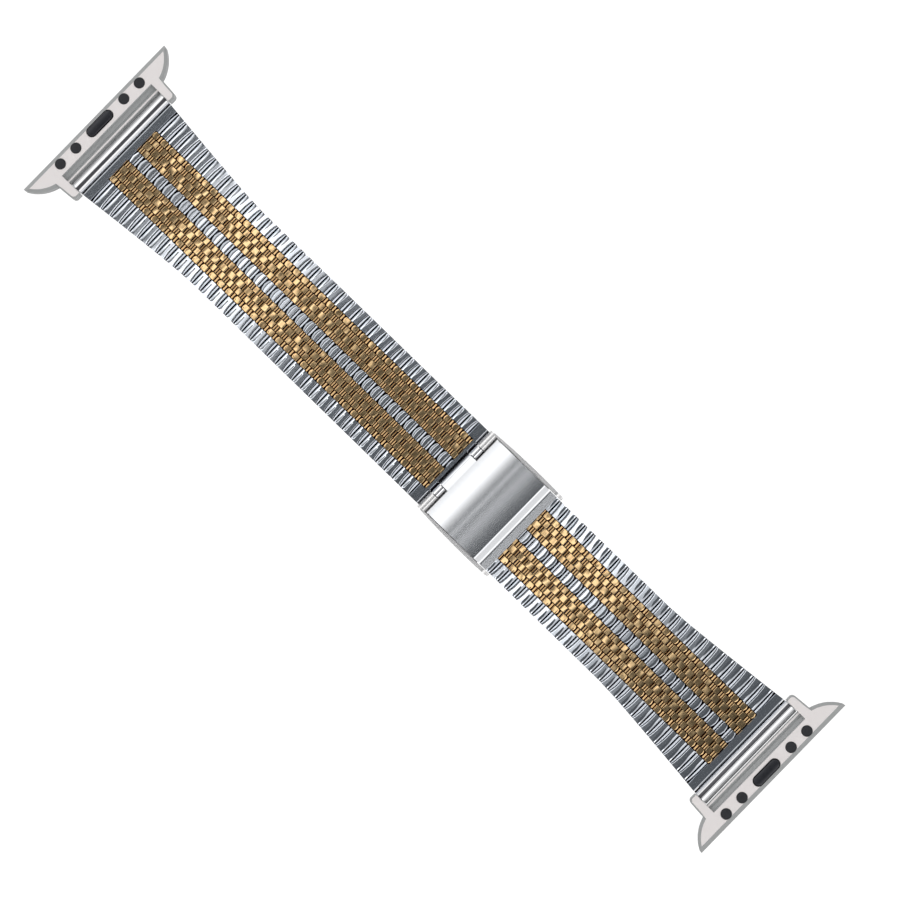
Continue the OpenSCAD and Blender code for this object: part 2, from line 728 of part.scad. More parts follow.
// The cover's section: a roll round the pin, a long shallow arch, a steeper bend and the lip
arch_points = 14;
arch_x0 = 0.4;
arch_crown = 8.5;        // where the arch is highest
arch_fall = 0.16;        // how far it falls from there to the bend
lip_t = 0.34;
lip_top = bead_top + 0.17 + lip_t;
tip_x = cover_len - clasp_knuckle_r - fit / 2;
bend_x = tip_x - lip_len - bend_len;
function arch_z(x) =
    x < arch_crown
        ? cover_top - (cover_top - clasp_knuckle_r) * pow((arch_crown - x) / (arch_crown - arch_x0), 2.2)
        : cover_top - arch_fall * pow((x - arch_crown) / (bend_x - arch_crown), 2);
function arch(t) = [arch_x0 + t * (bend_x - arch_x0), arch_z(arch_x0 + t * (bend_x - arch_x0))];
bend_drop = arch_z(bend_x) - lip_top;
bend_line = [for (b = [[0.15, 0.08], [0.3, 0.25], [0.75, 0.82], [0.88, 0.95], [1, 1]])
    [bend_x + b[0] * bend_len, arch_z(bend_x) - b[1] * bend_drop]];
cover_under = bead_top + 0.17;
module cover_section() {
    polygon(concat(
        [for (n = [0 : arch_points]) arch(n / arch_points)],
        bend_line,
        [[tip_x - bead_round, lip_top], [tip_x, lip_top - bead_round], [tip_x, cover_under],
         [bend_line[3][0], cover_under]],
        [for (n = [1 : -1 : 0]) bend_line[n] - [cover_t / 3, cover_t]],
        [for (n = [arch_points : -1 : 1]) arch(n / arch_points) - [0, cover_t]],
        [[arch_x0 + 0.9, clasp_knuckle_r - 0.5]]));
}
flange_t = 0.45;
flange_low = 1;          // lower edge of the cover's side flanges, above the axis
flange_end = slider_hinge_x - row_pitch - fit - clasp_pin_x;
module flange_section() {
    polygon(concat(
        [for (n = [1 : arch_points - 1]) arch(n / arch_points) - [0, cover_t / 2]],
        [[flange_end, flange_low], [arch(1 / arch_points)[0], flange_low]]));
}

module clasp_cover() {
    notch = 2 * clasp_knuckle_r + fit;
    roll = inner_knuckle_y - fit / 2;
    color("whitesmoke") translate([clasp_pin_x, 0, axis_z]) {
        slab(-roll, roll) difference() {
            union() {
                cover_section();
                circle(clasp_knuckle_r);
                polygon([[0, -0.3], [arch_x0 + 1.2, -0.3], [arch_x0 + 1.4, clasp_knuckle_r], [0, clasp_knuckle_r]]);
            }
            circle(clasp_pin_r + pin_fit);
        }
        both_sides() {
            slab(roll, cover_y - flange_t) difference() {
                cover_section();
                translate([-clasp_knuckle_r, -clasp_knuckle_r]) square([notch, 2 * cover_top]);
            }
            slab(cover_y - flange_t, cover_y) difference() {
                union() {
                    cover_section();
                    flange_section();
                }
                translate([-clasp_knuckle_r, -clasp_knuckle_r]) square([notch, 2 * cover_top]);
            }
        }
    }
}

// The slider that carries the short half. Its side tongues run in the rails, and its
// outer end has the knuckles that turn on the first link's pin.
slider_top = 0.8;
module slider() {
    front = slider_hinge_x - pocket + seat;
    back = latch_x - latch_len - 1.1;
    side = rail_in_y - fit - seat;
    color("silver") difference() {
        union() {
            slab(-side, side) translate([0, axis_z])
                polygon([[latch_x + 0.9, -link_under], [front, -link_under], [front, slider_top],
                    [latch_x + 0.9, slider_top]]);
            both_sides() {
                slab(latch_y + fit, side) translate([0, axis_z])
                    polygon([[back, -link_under], [latch_x + 1, -link_under],
                        [latch_x + 1, slider_top], [back, slider_top]]);
                slab(side - seat, rail_in_y + guide_w - fit)
                    polygon([[back + 0.5, guide_low], [front - 0.3, guide_low],
                        [front - 0.3, guide_high], [back + 0.5, guide_high]]);
                slab(centre_y + fit / 2, gold_y - fit / 2) translate([slider_hinge_x, axis_z]) {
                    circle(knuckle_r);
                    polygon([[-pocket, -link_under], [-skin_gap / 2, -link_under], [-skin_gap / 2, 0],
                        [0, 0], [0, knuckle_r], [-pocket, knuckle_r]]);
                }
            }
        }
        translate([slider_hinge_x, 0, axis_z]) rod(link_pin_r + pin_fit, -side, side);
        translate([latch_x, 0, latch_z]) rod(trunnion_r + pin_fit, -latch_y - 1, latch_y + 1);
    }
}
trunnion_r = 0.5;

// The latch that drops its tooth into a slot of the ladder, drawn lifted
module slider_latch() {
    color("gainsboro") translate([latch_x, 0, latch_z]) {
        slab(-latch_y, latch_y)
            polygon([[0, -0.3], [0, 0.3], [-latch_len - tooth_len / 2, 0.3],
                [-latch_len - tooth_len / 2, floor_t + 0.06 - latch_z],
                [-latch_len + tooth_len / 2, floor_t + 0.06 - latch_z], [-latch_len + tooth_len / 2, -0.3]]);
        rod(trunnion_r, -latch_y - 0.9, latch_y + 0.9);
    }
}

clasp_base();
clasp_cover();
clasp_pin();
clasp_link();
slider();
slider_latch();
for (n = [1:links_a])
    on_half("a", inner_hinge_a - n * link_len) band_link(inner_hinge_a - n * link_len);
for (n = [1:links_b])
    on_half("b", inner_hinge_b - n * link_len) band_link(inner_hinge_b - n * link_len);
for (half = ["a", "b"]) {
    end_link(half);
    end_tube(half);
    spring_bar(half);
    bar_spring(half);
    bar_tip(half, 1);
    bar_tip(half, -1);
    adapter(half);
    pads(half);
    lock(half);
    lock_spring(half);
}
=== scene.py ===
import bpy
import bmesh
import json
import math
from mathutils import Matrix, Vector
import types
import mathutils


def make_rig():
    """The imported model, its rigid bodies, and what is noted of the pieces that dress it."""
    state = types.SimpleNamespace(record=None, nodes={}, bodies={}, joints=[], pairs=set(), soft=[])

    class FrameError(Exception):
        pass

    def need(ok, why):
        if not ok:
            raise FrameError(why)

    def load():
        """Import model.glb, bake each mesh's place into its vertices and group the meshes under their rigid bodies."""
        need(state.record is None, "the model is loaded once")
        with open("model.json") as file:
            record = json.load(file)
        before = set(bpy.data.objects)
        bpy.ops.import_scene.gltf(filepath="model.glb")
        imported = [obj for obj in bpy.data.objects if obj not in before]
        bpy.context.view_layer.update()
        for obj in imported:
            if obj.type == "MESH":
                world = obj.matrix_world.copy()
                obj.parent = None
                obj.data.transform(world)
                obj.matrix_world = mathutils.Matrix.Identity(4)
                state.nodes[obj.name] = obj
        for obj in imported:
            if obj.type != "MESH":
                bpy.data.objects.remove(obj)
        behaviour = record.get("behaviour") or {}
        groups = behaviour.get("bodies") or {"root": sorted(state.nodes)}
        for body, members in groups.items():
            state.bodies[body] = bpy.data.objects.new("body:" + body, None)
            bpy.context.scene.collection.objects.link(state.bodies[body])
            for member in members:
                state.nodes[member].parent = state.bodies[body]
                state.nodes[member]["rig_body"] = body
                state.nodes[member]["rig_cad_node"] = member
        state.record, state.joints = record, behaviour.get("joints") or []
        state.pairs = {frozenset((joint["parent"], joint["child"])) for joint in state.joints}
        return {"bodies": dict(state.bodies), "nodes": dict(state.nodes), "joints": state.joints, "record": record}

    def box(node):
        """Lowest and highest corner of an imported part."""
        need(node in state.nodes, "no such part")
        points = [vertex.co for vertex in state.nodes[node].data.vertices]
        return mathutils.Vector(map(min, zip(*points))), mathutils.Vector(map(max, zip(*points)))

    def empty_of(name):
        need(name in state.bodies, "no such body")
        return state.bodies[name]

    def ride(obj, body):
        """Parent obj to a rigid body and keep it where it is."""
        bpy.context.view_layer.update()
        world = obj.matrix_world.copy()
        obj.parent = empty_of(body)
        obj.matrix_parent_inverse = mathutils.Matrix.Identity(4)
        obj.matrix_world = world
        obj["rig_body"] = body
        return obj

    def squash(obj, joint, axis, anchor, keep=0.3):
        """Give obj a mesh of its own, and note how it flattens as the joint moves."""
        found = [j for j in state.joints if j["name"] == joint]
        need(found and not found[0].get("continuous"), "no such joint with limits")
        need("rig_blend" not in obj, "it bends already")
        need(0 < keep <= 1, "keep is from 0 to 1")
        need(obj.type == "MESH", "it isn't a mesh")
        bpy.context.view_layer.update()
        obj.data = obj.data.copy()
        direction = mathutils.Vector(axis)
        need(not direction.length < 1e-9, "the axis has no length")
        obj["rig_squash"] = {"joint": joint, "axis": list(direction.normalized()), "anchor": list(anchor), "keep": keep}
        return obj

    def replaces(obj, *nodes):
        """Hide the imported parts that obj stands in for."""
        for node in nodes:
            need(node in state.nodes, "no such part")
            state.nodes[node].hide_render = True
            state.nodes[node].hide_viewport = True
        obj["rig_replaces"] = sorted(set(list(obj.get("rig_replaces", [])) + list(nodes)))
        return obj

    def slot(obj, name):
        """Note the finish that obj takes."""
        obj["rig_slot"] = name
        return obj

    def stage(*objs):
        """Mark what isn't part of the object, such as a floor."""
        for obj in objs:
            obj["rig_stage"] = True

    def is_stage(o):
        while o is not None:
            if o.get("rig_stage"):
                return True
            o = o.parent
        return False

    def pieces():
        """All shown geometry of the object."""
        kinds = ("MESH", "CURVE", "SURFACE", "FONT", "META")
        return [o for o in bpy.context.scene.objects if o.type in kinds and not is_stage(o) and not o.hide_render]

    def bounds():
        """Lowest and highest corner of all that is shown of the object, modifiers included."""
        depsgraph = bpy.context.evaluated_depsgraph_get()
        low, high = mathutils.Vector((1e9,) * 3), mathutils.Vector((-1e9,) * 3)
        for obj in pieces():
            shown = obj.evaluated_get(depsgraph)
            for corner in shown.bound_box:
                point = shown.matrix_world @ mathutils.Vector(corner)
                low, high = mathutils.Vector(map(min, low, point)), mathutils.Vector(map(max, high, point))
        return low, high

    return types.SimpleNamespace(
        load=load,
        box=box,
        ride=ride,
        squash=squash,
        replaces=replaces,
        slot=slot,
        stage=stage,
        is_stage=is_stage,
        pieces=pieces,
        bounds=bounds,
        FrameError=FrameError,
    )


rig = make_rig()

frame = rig.load()
mm = 0.001


def writeSize(key):
    low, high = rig.bounds()
    try:
        sizes = json.load(open("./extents.json"))
    except (OSError, ValueError):
        sizes = {}
    sizes[key] = [list(low), list(high)]
    json.dump(sizes, open("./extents.json", "w"))


writeSize("cad")

# Lengths in millimetres, the same as the CAD model's
band = {"pitch": 2.1, "rows": 2, "axisZ": 1.65, "under": -1.05, "knuckle": 0.7, "width": 18.06,
        "lugWidth": 22.7, "taper": 24.6, "bend": 1.15, "endStart": 8.52, "endReach": 2.38, "centre": 1.18,
        "column": 1.23, "pocket": 0.85, "half": 0.09, "linksA": 18, "linksB": 12, "toPin": 2.3,
        "claspLength": 16.95, "overlap": 1.3}
band["gold"] = band["centre"] + 4 * band["column"]
band["length"] = band["pitch"] * band["rows"]
band["firstRow"] = band["endStart"] + band["endReach"]
band["innerA"] = band["firstRow"] + band["pitch"] + band["linksA"] * band["length"]
band["innerB"] = band["firstRow"] + band["pitch"] + band["linksB"] * band["length"]
band["total"] = band["innerA"] + band["toPin"] + band["claspLength"] - band["overlap"] + band["innerB"]


def halfWidth(s):
    t = min(max((s - band["endStart"]) / band["taper"], 0), 1)
    return band["width"] / 2 + (band["lugWidth"] - band["width"]) / 2 * (1 - t) ** band["bend"]


def connect(tree, value, socket):
    if isinstance(value, bpy.types.NodeSocket):
        tree.links.new(value, socket)
    elif value is not None:
        socket.default_value = value


def addNode(tree, kind, inputs=(), **settings):
    node = tree.nodes.new(kind)
    for key, value in settings.items():
        setattr(node, key, value)
    for key, value in dict(inputs).items():
        connect(tree, value, node.inputs[key])
    return node


def math2(tree, operation, a, b=None):
    node = addNode(tree, "ShaderNodeMath", {0: a}, operation=operation)
    if b is not None:
        connect(tree, b, node.inputs[1])
    return node.outputs[0]


def newTree(name, kind, inputs, outputs):
    tree = bpy.data.node_groups.new(name, kind)
    for label, socket, value in inputs:
        made = tree.interface.new_socket(label, in_out="INPUT", socket_type=socket)
        if value is not None:
            made.default_value = value
    for label, socket in outputs:
        tree.interface.new_socket(label, in_out="OUTPUT", socket_type=socket)
    return tree, tree.nodes.new("NodeGroupInput").outputs, tree.nodes.new("NodeGroupOutput").inputs


def makeGrain():
    tree, source, result = newTree("brushedGrain", "ShaderNodeTree",
        [("Along", "NodeSocketVector", (1, 1, 1)), ("Detail", "NodeSocketFloat", 4.0)],
        [("Value", "NodeSocketFloat")])
    coords = addNode(tree, "ShaderNodeTexCoord").outputs["Object"]
    scaled = addNode(tree, "ShaderNodeVectorMath", {0: coords, 1: source["Along"]}, operation="MULTIPLY")
    noise = addNode(tree, "ShaderNodeTexNoise",
        {"Vector": scaled.outputs[0], "Scale": 1.0, "Detail": source["Detail"], "Roughness": 0.6})
    connect(tree, noise.outputs[0], result["Value"])
    return tree


def makeDepthShade():
    # Painted shade: 0 on the floors between the beads, which face up and lie low, where the material takes its dark
    # floor colour in place of shade; 1 elsewhere
    tree, source, result = newTree("depthShade", "ShaderNodeTree",
        [("Low", "NodeSocketFloat", 0.0026), ("High", "NodeSocketFloat", 0.00285)],
        [("Mask", "NodeSocketFloat")])
    coords = addNode(tree, "ShaderNodeTexCoord").outputs
    z = addNode(tree, "ShaderNodeSeparateXYZ", {0: coords["Object"]}).outputs["Z"]
    mapped = addNode(tree, "ShaderNodeMapRange",
        {"Value": z, "From Min": source["Low"], "From Max": source["High"]}, clamp=True)
    facing = addNode(tree, "ShaderNodeSeparateXYZ", {0: coords["Normal"]}).outputs["Z"]
    leastUp = 0.3
    side = math2(tree, "LESS_THAN", facing, leastUp)
    connect(tree, math2(tree, "MAXIMUM", mapped.outputs[0], side), result["Mask"])
    return tree


def makeSlope():
    # Painted shade: 0 on sloping faces, which take a grey in place of their shade, 1 on those that look straight up
    tree, source, result = newTree("slopeShade", "ShaderNodeTree",
        [("Low", "NodeSocketFloat", 0.9), ("High", "NodeSocketFloat", 0.99)], [("Mask", "NodeSocketFloat")])
    facing = addNode(tree, "ShaderNodeTexCoord").outputs["Normal"]
    z = addNode(tree, "ShaderNodeSeparateXYZ", {0: facing}).outputs["Z"]
    mapped = addNode(tree, "ShaderNodeMapRange",
        {"Value": z, "From Min": source["Low"], "From Max": source["High"]}, clamp=True)
    connect(tree, mapped.outputs[0], result["Mask"])
    return tree


def makeFade():
    # 0 to 1 along X between two places
    tree, source, result = newTree("fadeAlong", "ShaderNodeTree",
        [("From", "NodeSocketFloat", 0.0), ("To", "NodeSocketFloat", 0.01)], [("Mask", "NodeSocketFloat")])
    x = addNode(tree, "ShaderNodeSeparateXYZ",
        {0: addNode(tree, "ShaderNodeTexCoord").outputs["Object"]}).outputs["X"]
    mapped = addNode(tree, "ShaderNodeMapRange",
        {"Value": x, "From Min": source["From"], "From Max": source["To"]}, clamp=True)
    connect(tree, mapped.outputs[0], result["Mask"])
    return tree


slopeTree = makeSlope()
fadeTree = makeFade()
grainTree = makeGrain()
depthShadeTree = makeDepthShade()


def groupNode(tree, group, inputs):
    node = tree.nodes.new("ShaderNodeGroup")
    node.node_tree = group
    for key, value in inputs.items():
        connect(tree, value, node.inputs[key])
    return node.outputs[0]


def mixColour(tree, factor, a, b):
    node = addNode(tree, "ShaderNodeMix", data_type="RGBA")
    connect(tree, factor, node.inputs[0])
    connect(tree, a, node.inputs[6])
    connect(tree, b, node.inputs[7])
    return node.outputs[2]


def newMaterial(name):
    material = bpy.data.materials.new(name)
    material.use_nodes = True
    tree = material.node_tree
    tree.nodes.clear()
    shader = addNode(tree, "ShaderNodeBsdfPrincipled")
    out = addNode(tree, "ShaderNodeOutputMaterial")
    tree.links.new(shader.outputs[0], out.inputs[0])
    return material, tree, shader.inputs


def fillRamp(ramp, stops):
    elements = ramp.color_ramp.elements
    elements.remove(elements[1])
    for n, (position, colour) in enumerate(stops):
        element = elements[0] if n == 0 else elements.new(position)
        element.position = position
        element.color = (*colour, 1)
    return ramp.outputs[0]


def metal(look):
    material, tree, shader = newMaterial(look["name"])
    grain = groupNode(tree, grainTree, {"Along": look["along"]})
    tint = mixColour(tree, grain, look["dark"], look["light"])
    # Painted shade on the low floors between the beads and bars
    if look.get("depth"):
        mask = groupNode(tree, depthShadeTree, {"Low": look["depth"][0] * mm, "High": look["depth"][1] * mm})
        tint = mixColour(tree, mask, look["floor"], tint)
    # Painted shade: sloping faces turn grey
    if look.get("slope"):
        level = groupNode(tree, slopeTree, {"Low": look["slope"][0], "High": look["slope"][1]})
        tint = mixColour(tree, level, look["paintedSlopeShade"], tint)
    # A painted shadow: the colour goes near black below the seam range along X
    if look.get("seam"):
        past = groupNode(tree, fadeTree, {"From": look["seam"][0] * mm, "To": look["seam"][1] * mm})
        tint = mixColour(tree, past, look["seamShadow"], tint)
    connect(tree, tint, shader["Base Color"])
    connect(tree, look.get("metallic", 1.0), shader["Metallic"])
    rough = addNode(tree, "ShaderNodeMapRange",
        {"Value": grain, "To Min": look["rough"][0], "To Max": look["rough"][1]})
    connect(tree, rough.outputs[0], shader["Roughness"])
    bump = addNode(tree, "ShaderNodeBump",
        {"Height": grain, "Strength": look["bump"], "Distance": look.get("depthOfBump", 0.02) * mm})
    if look.get("wave"):
        ripple = groupNode(tree, grainTree, {"Along": look["ripple"], "Detail": 1.0})
        wave = addNode(tree, "ShaderNodeBump",
            {"Height": ripple, "Strength": 1.0, "Distance": look["wave"] * mm})
        connect(tree, wave.outputs[0], bump.inputs["Normal"])
    connect(tree, bump.outputs[0], shader["Normal"])
    return material


# The "floor" colour is painted shade: near black on the low floors between the bars and cells
linkLook = {"along": (3000, 400, 400), "dark": (0.70, 0.73, 0.78, 1), "light": (0.80, 0.83, 0.88, 1),
            "floor": (0.012, 0.012, 0.016, 1), "rough": (0.05, 0.08), "bump": 0.03, "wave": 0.01,
            "ripple": (250, 100, 250)}
steel = metal({**linkLook, "name": "linkSteel", "depth": (2.62, 2.7)})
edgeSteel = metal({**linkLook, "name": "edgeSteel"})
# The "floor" colour is painted shade: dark brown on the low floors between the gold beads
gold = metal({"name": "goldBeads", "along": (700, 700, 700), "dark": (0.68, 0.43, 0.19, 1),
              "light": (0.99, 0.72, 0.41, 1), "floor": (0.035, 0.015, 0.005, 1), "depth": (2.68, 2.85),
              "rough": (0.06, 0.1), "bump": 0.03, "wave": 0.05, "ripple": (350, 350, 350)})
# The grey on sloping faces is painted shade on the chamfers, the horns' bevels and the groove
adapterSteel = metal({"name": "adapterSteel", "along": (600, 600, 600), "dark": (0.96, 0.90, 0.89, 1),
                      "light": (0.99, 0.95, 0.94, 1), "paintedSlopeShade": (0.47, 0.48, 0.48, 1),
                      "slope": (0.955, 0.995), "rough": (0.42, 0.5), "bump": 0.08, "metallic": 0.05})
# Left of the "seam" range the cover's roll is painted near black, a painted shadow where it meets the clasp link
coverSteel = metal({"name": "coverSteel", "along": (250, 2500, 250), "dark": (0.66, 0.67, 0.69, 1),
                    "light": (0.72, 0.73, 0.75, 1), "rough": (0.17, 0.2), "bump": 0.0,
                    "seam": (6.05, 6.3), "seamShadow": (0.02, 0.02, 0.02, 1)})
chrome = metal({"name": "polishedSteel", "along": (1500, 200, 1500), "dark": (0.75, 0.75, 0.77, 1),
                "light": (0.85, 0.85, 0.86, 1), "rough": (0.1, 0.16), "bump": 0.05})
# A dark steel: in the tube's seam groove its colour is painted shade; the clasp pin takes it too
seam = metal({"name": "tubeSeamShade", "along": (1500, 200, 1500), "dark": (0.12, 0.12, 0.13, 1),
              "light": (0.16, 0.16, 0.17, 1), "rough": (0.3, 0.4), "bump": 0.05})
claspSteel = metal({"name": "claspSteel", "along": (250, 2500, 250), "dark": (0.80, 0.79, 0.79, 1),
                    "light": (0.88, 0.87, 0.87, 1), "rough": (0.25, 0.3), "bump": 0.03, "metallic": 0.7})
dark = metal({"name": "darkLock", "along": (900, 900, 900), "dark": (0.012, 0.013, 0.017, 1),
              "light": (0.03, 0.032, 0.04, 1), "rough": (0.25, 0.35), "bump": 0.2, "metallic": 0.3})
rubber = metal({"name": "padRubber", "along": (900, 900, 900), "dark": (0.008, 0.009, 0.012, 1),
                "light": (0.022, 0.024, 0.03, 1), "rough": (0.5, 0.65), "bump": 0.3, "metallic": 0.0})
print("materials made")


# Grid lines of a bead, how they crowd to its rim, and how its bevel narrows towards the outer end
beadGrid = {"along": 13, "across": 9, "crowdAlong": 3.0, "crowdAcross": 4.0, "endPower": 5.0, "endShare": 0.8}
# Lengths in mm; creases in radians
beadRules = {"floor": 0.93, "shortest": 0.2, "flatFrom": 0.8, "flatCrease": 0.2, "roundCrease": 0.9,
             "cellWidth": 2.28, "wideWidth": 1.2, "goldWidth": 1.1}


def makeBeadTree():
    numbers = [("Rows", "NodeSocketInt", 2)] + [(n, "NodeSocketFloat", 1.0) for n in
        ("Pitch", "X", "Y", "Length", "Width", "Floor", "Top", "Nose", "Crown", "Edge X", "Edge Y",
         "Bevel", "Drop", "Crease")]
    tree, source, result = newTree("beadColumn", "GeometryNodeTree",
        [("Geometry", "NodeSocketGeometry", None)] + numbers + [("Material", "NodeSocketMaterial", None)],
        [("Geometry", "NodeSocketGeometry")])
    grid = addNode(tree, "GeometryNodeMeshGrid",
        {"Size X": 2.0, "Size Y": 2.0, "Vertices X": beadGrid["along"],
         "Vertices Y": beadGrid["across"]}).outputs[0]
    place = addNode(tree, "GeometryNodeInputPosition").outputs[0]
    split = addNode(tree, "ShaderNodeSeparateXYZ", {0: place}).outputs

    def crowded(value, power):
        # Moves the grid's lines towards its rim
        inside = math2(tree, "SUBTRACT", 1.0, math2(tree, "ABSOLUTE", value))
        outward = math2(tree, "SUBTRACT", 1.0,
            math2(tree, "POWER", math2(tree, "MAXIMUM", inside, 0.0), power))
        return math2(tree, "MULTIPLY", math2(tree, "SIGN", value), outward)

    u = crowded(split[0], beadGrid["crowdAlong"])
    v = crowded(split[1], beadGrid["crowdAcross"])

    def rim(value, power):
        inside = math2(tree, "SUBTRACT", 1.0, math2(tree, "POWER", math2(tree, "ABSOLUTE", value), power))
        return math2(tree, "POWER", math2(tree, "MAXIMUM", inside, 0.0), math2(tree, "DIVIDE", 1.0, power))

    rise = math2(tree, "MULTIPLY", rim(u, source["Edge X"]), rim(v, source["Edge Y"]))
    v2 = math2(tree, "MULTIPLY", v, v)
    squares = math2(tree, "ADD", math2(tree, "MULTIPLY", u, u), v2)
    top = math2(tree, "SUBTRACT", math2(tree, "SUBTRACT", source["Top"], source["Floor"]),
        math2(tree, "MULTIPLY", source["Crown"], squares))
    outer = math2(tree, "MAXIMUM", math2(tree, "MULTIPLY", v, math2(tree, "SIGN", source["Y"])), 0.0)
    point = math2(tree, "SUBTRACT", 1.0, math2(tree, "MULTIPLY",
        math2(tree, "POWER", outer, beadGrid["endPower"]), beadGrid["endShare"]))
    along = math2(tree, "MULTIPLY", math2(tree, "ADD", u, 1.0),
        math2(tree, "MULTIPLY", source["Length"], 0.5))
    part = math2(tree, "DIVIDE", along, math2(tree, "MULTIPLY", source["Bevel"], point))
    left = math2(tree, "MAXIMUM", math2(tree, "SUBTRACT", 1.0, part), 0.0)
    fall = math2(tree, "MULTIPLY", math2(tree, "MULTIPLY", left, left),
        math2(tree, "MULTIPLY", point, source["Drop"]))
    z = math2(tree, "ADD", source["Floor"],
        math2(tree, "MULTIPLY", math2(tree, "SUBTRACT", top, fall), rise))
    nose = math2(tree, "MULTIPLY", math2(tree, "MULTIPLY", v2, source["Nose"]),
        math2(tree, "MULTIPLY", math2(tree, "SUBTRACT", 1.0, u), 0.5))
    x = math2(tree, "ADD", math2(tree, "MULTIPLY", u, math2(tree, "MULTIPLY", source["Length"], 0.5)), nose)
    y = math2(tree, "MULTIPLY", v, math2(tree, "MULTIPLY", source["Width"], 0.5))
    shaped = addNode(tree, "GeometryNodeSetPosition",
        {"Geometry": grid, "Position": addNode(tree, "ShaderNodeCombineXYZ", {0: x, 1: y, 2: z}).outputs[0]})
    rounded = addNode(tree, "GeometryNodeSetShadeSmooth", {"Geometry": shaped.outputs[0]}).outputs[0]
    bent = addNode(tree, "GeometryNodeInputMeshEdgeAngle").outputs[0]
    shallow = math2(tree, "LESS_THAN", bent, source["Crease"])
    smooth = addNode(tree, "GeometryNodeSetShadeSmooth",
        {"Geometry": rounded, "Shade Smooth": shallow}, domain="EDGE").outputs[0]
    middle = math2(tree, "ADD", source["X"], math2(tree, "MULTIPLY", source["Length"], 0.5))
    start = addNode(tree, "ShaderNodeCombineXYZ", {0: middle, 1: source["Y"]}).outputs[0]
    step = addNode(tree, "ShaderNodeCombineXYZ", {0: source["Pitch"]}).outputs[0]
    rows = addNode(tree, "GeometryNodeMeshLine",
        {"Count": source["Rows"], "Start Location": start, "Offset": step}).outputs[0]
    placed = addNode(tree, "GeometryNodeInstanceOnPoints", {"Points": rows, "Instance": smooth}).outputs[0]
    joined = addNode(tree, "GeometryNodeJoinGeometry")
    tree.links.new(placed, joined.inputs[0])
    tree.links.new(source["Geometry"], joined.inputs[0])
    real = addNode(tree, "GeometryNodeRealizeInstances", {"Geometry": joined.outputs[0]}).outputs[0]
    painted = addNode(tree, "GeometryNodeSetMaterial", {"Geometry": real, "Material": source["Material"]})
    tree.links.new(painted.outputs[0], result["Geometry"])
    return tree


beadTree = makeBeadTree()
socketOf = {i.name: i.identifier for i in beadTree.interface.items_tree if i.in_out == "INPUT"}


def withBeads(mesh, beads, material):
    thing = bpy.data.objects.new("maker", mesh)
    bpy.context.scene.collection.objects.link(thing)
    for bead in beads:
        modifier = thing.modifiers.new("beads", "NODES")
        modifier.node_group = beadTree
        for key, value in {**bead, "Material": material}.items():
            modifier[socketOf[key]] = value
    graph = bpy.context.evaluated_depsgraph_get()
    done = bpy.data.meshes.new_from_object(thing.evaluated_get(graph))
    bpy.data.objects.remove(thing)
    return done


def bead(x, length, y, width, top, nose, crease, crown, edgeX, edgeY, bevel=0.1, drop=0.0):
    return {"Rows": 1, "Pitch": band["pitch"], "X": x, "Y": y, "Length": length, "Width": width,
            "Floor": beadRules["floor"], "Top": top, "Nose": nose, "Crown": crown, "Edge X": edgeX,
            "Edge Y": edgeY, "Bevel": bevel, "Drop": drop, "Crease": crease}


# Crown, roundness along and across the band, and bevel, for a column's long and short beads
roundness = {"edge": ((0.0, 30.0, 40.0, 0.22, 0.1), (0.0, 2.4, 24.0)),
             "fine": ((0.0, 40.0, 40.0), (0.0, 2.2, 24.0)),
             "wide": ((0.003, 30.0, 40.0), (0.0, 2.2, 24.0)),
             "cell": ((0.0, 30.0, 60.0, 0.3, 0.17), (0.0, 2.2, 40.0)),
             "side": ((0.0, 40.0, 90.0, 0.36, 0.18), (0.0, 2.0, 60.0))}
# Start, length, top and nose of each bead within a row
beadPattern = {
    "edge": [(0.45, 0.45, 1.26, 0.0), (1.08, 1.29, 1.35, 0.22)],
    "fine": [(0.35, 0.93, 1.3, 0.0), (1.4, 0.37, 1.18, 0.0), (1.88, 0.37, 1.18, 0.0)],
    "wide": [(0.88, 0.3, 1.12, 0.0), (1.42, 1.36, 1.35, 0.0)],
    "cell": [(0.46, 0.44, 1.28, 0.0), (1.08, 1.35, 1.33, 0.3)],
    "side": [(0.11, 1.3, 1.3, 0.0), (1.49, 0.49, 1.27, 0.0)]}


def columnBeads(kind, y, width, rows, low=-99.0, high=99.0):
    made = []
    for row in rows:
        for x, length, top, nose in beadPattern[kind]:
            start = max(x + row * band["pitch"], low)
            end = min(x + row * band["pitch"] + length, high)
            if end - start > beadRules["shortest"]:
                flat = length > beadRules["flatFrom"]
                shape = roundness[kind][0 if flat else 1]
                crease = beadRules["flatCrease" if flat else "roundCrease"]
                made.append(bead(start, end - start, y, width, top, nose, crease, *shape))
    return made


def addBox(bm, low, high):
    corners = [bm.verts.new((x, y, z)) for x in (low[0], high[0]) for y in (low[1], high[1])
               for z in (low[2], high[2])]
    for face in ((0, 1, 3, 2), (4, 6, 7, 5), (0, 4, 5, 1), (2, 3, 7, 6), (0, 2, 6, 4), (1, 5, 7, 3)):
        bm.faces.new([corners[n] for n in face])


def addSlab(bm, points, y0, y1):
    near = [bm.verts.new((x, y0, z)) for x, z in points]
    far = [bm.verts.new((x, y1, z)) for x, z in points]
    bm.faces.new(near)
    bm.faces.new(far[::-1])
    for n in range(len(points)):
        m = (n + 1) % len(points)
        bm.faces.new((near[m], near[n], far[n], far[m]))


def circlePoints(cx, cz, r, count=24):
    return [(cx + r * math.cos(2 * math.pi * n / count), cz + r * math.sin(2 * math.pi * n / count))
            for n in range(count)]


def finishMesh(bm, name, material, smoothAngle=None):
    bmesh.ops.recalc_face_normals(bm, faces=bm.faces[:])
    mesh = bpy.data.meshes.new(name)
    bm.to_mesh(mesh)
    bm.free()
    mesh.materials.append(material)
    if smoothAngle:
        mesh.shade_smooth()
        mesh.set_sharp_from_angle(angle=math.radians(smoothAngle))
    return mesh


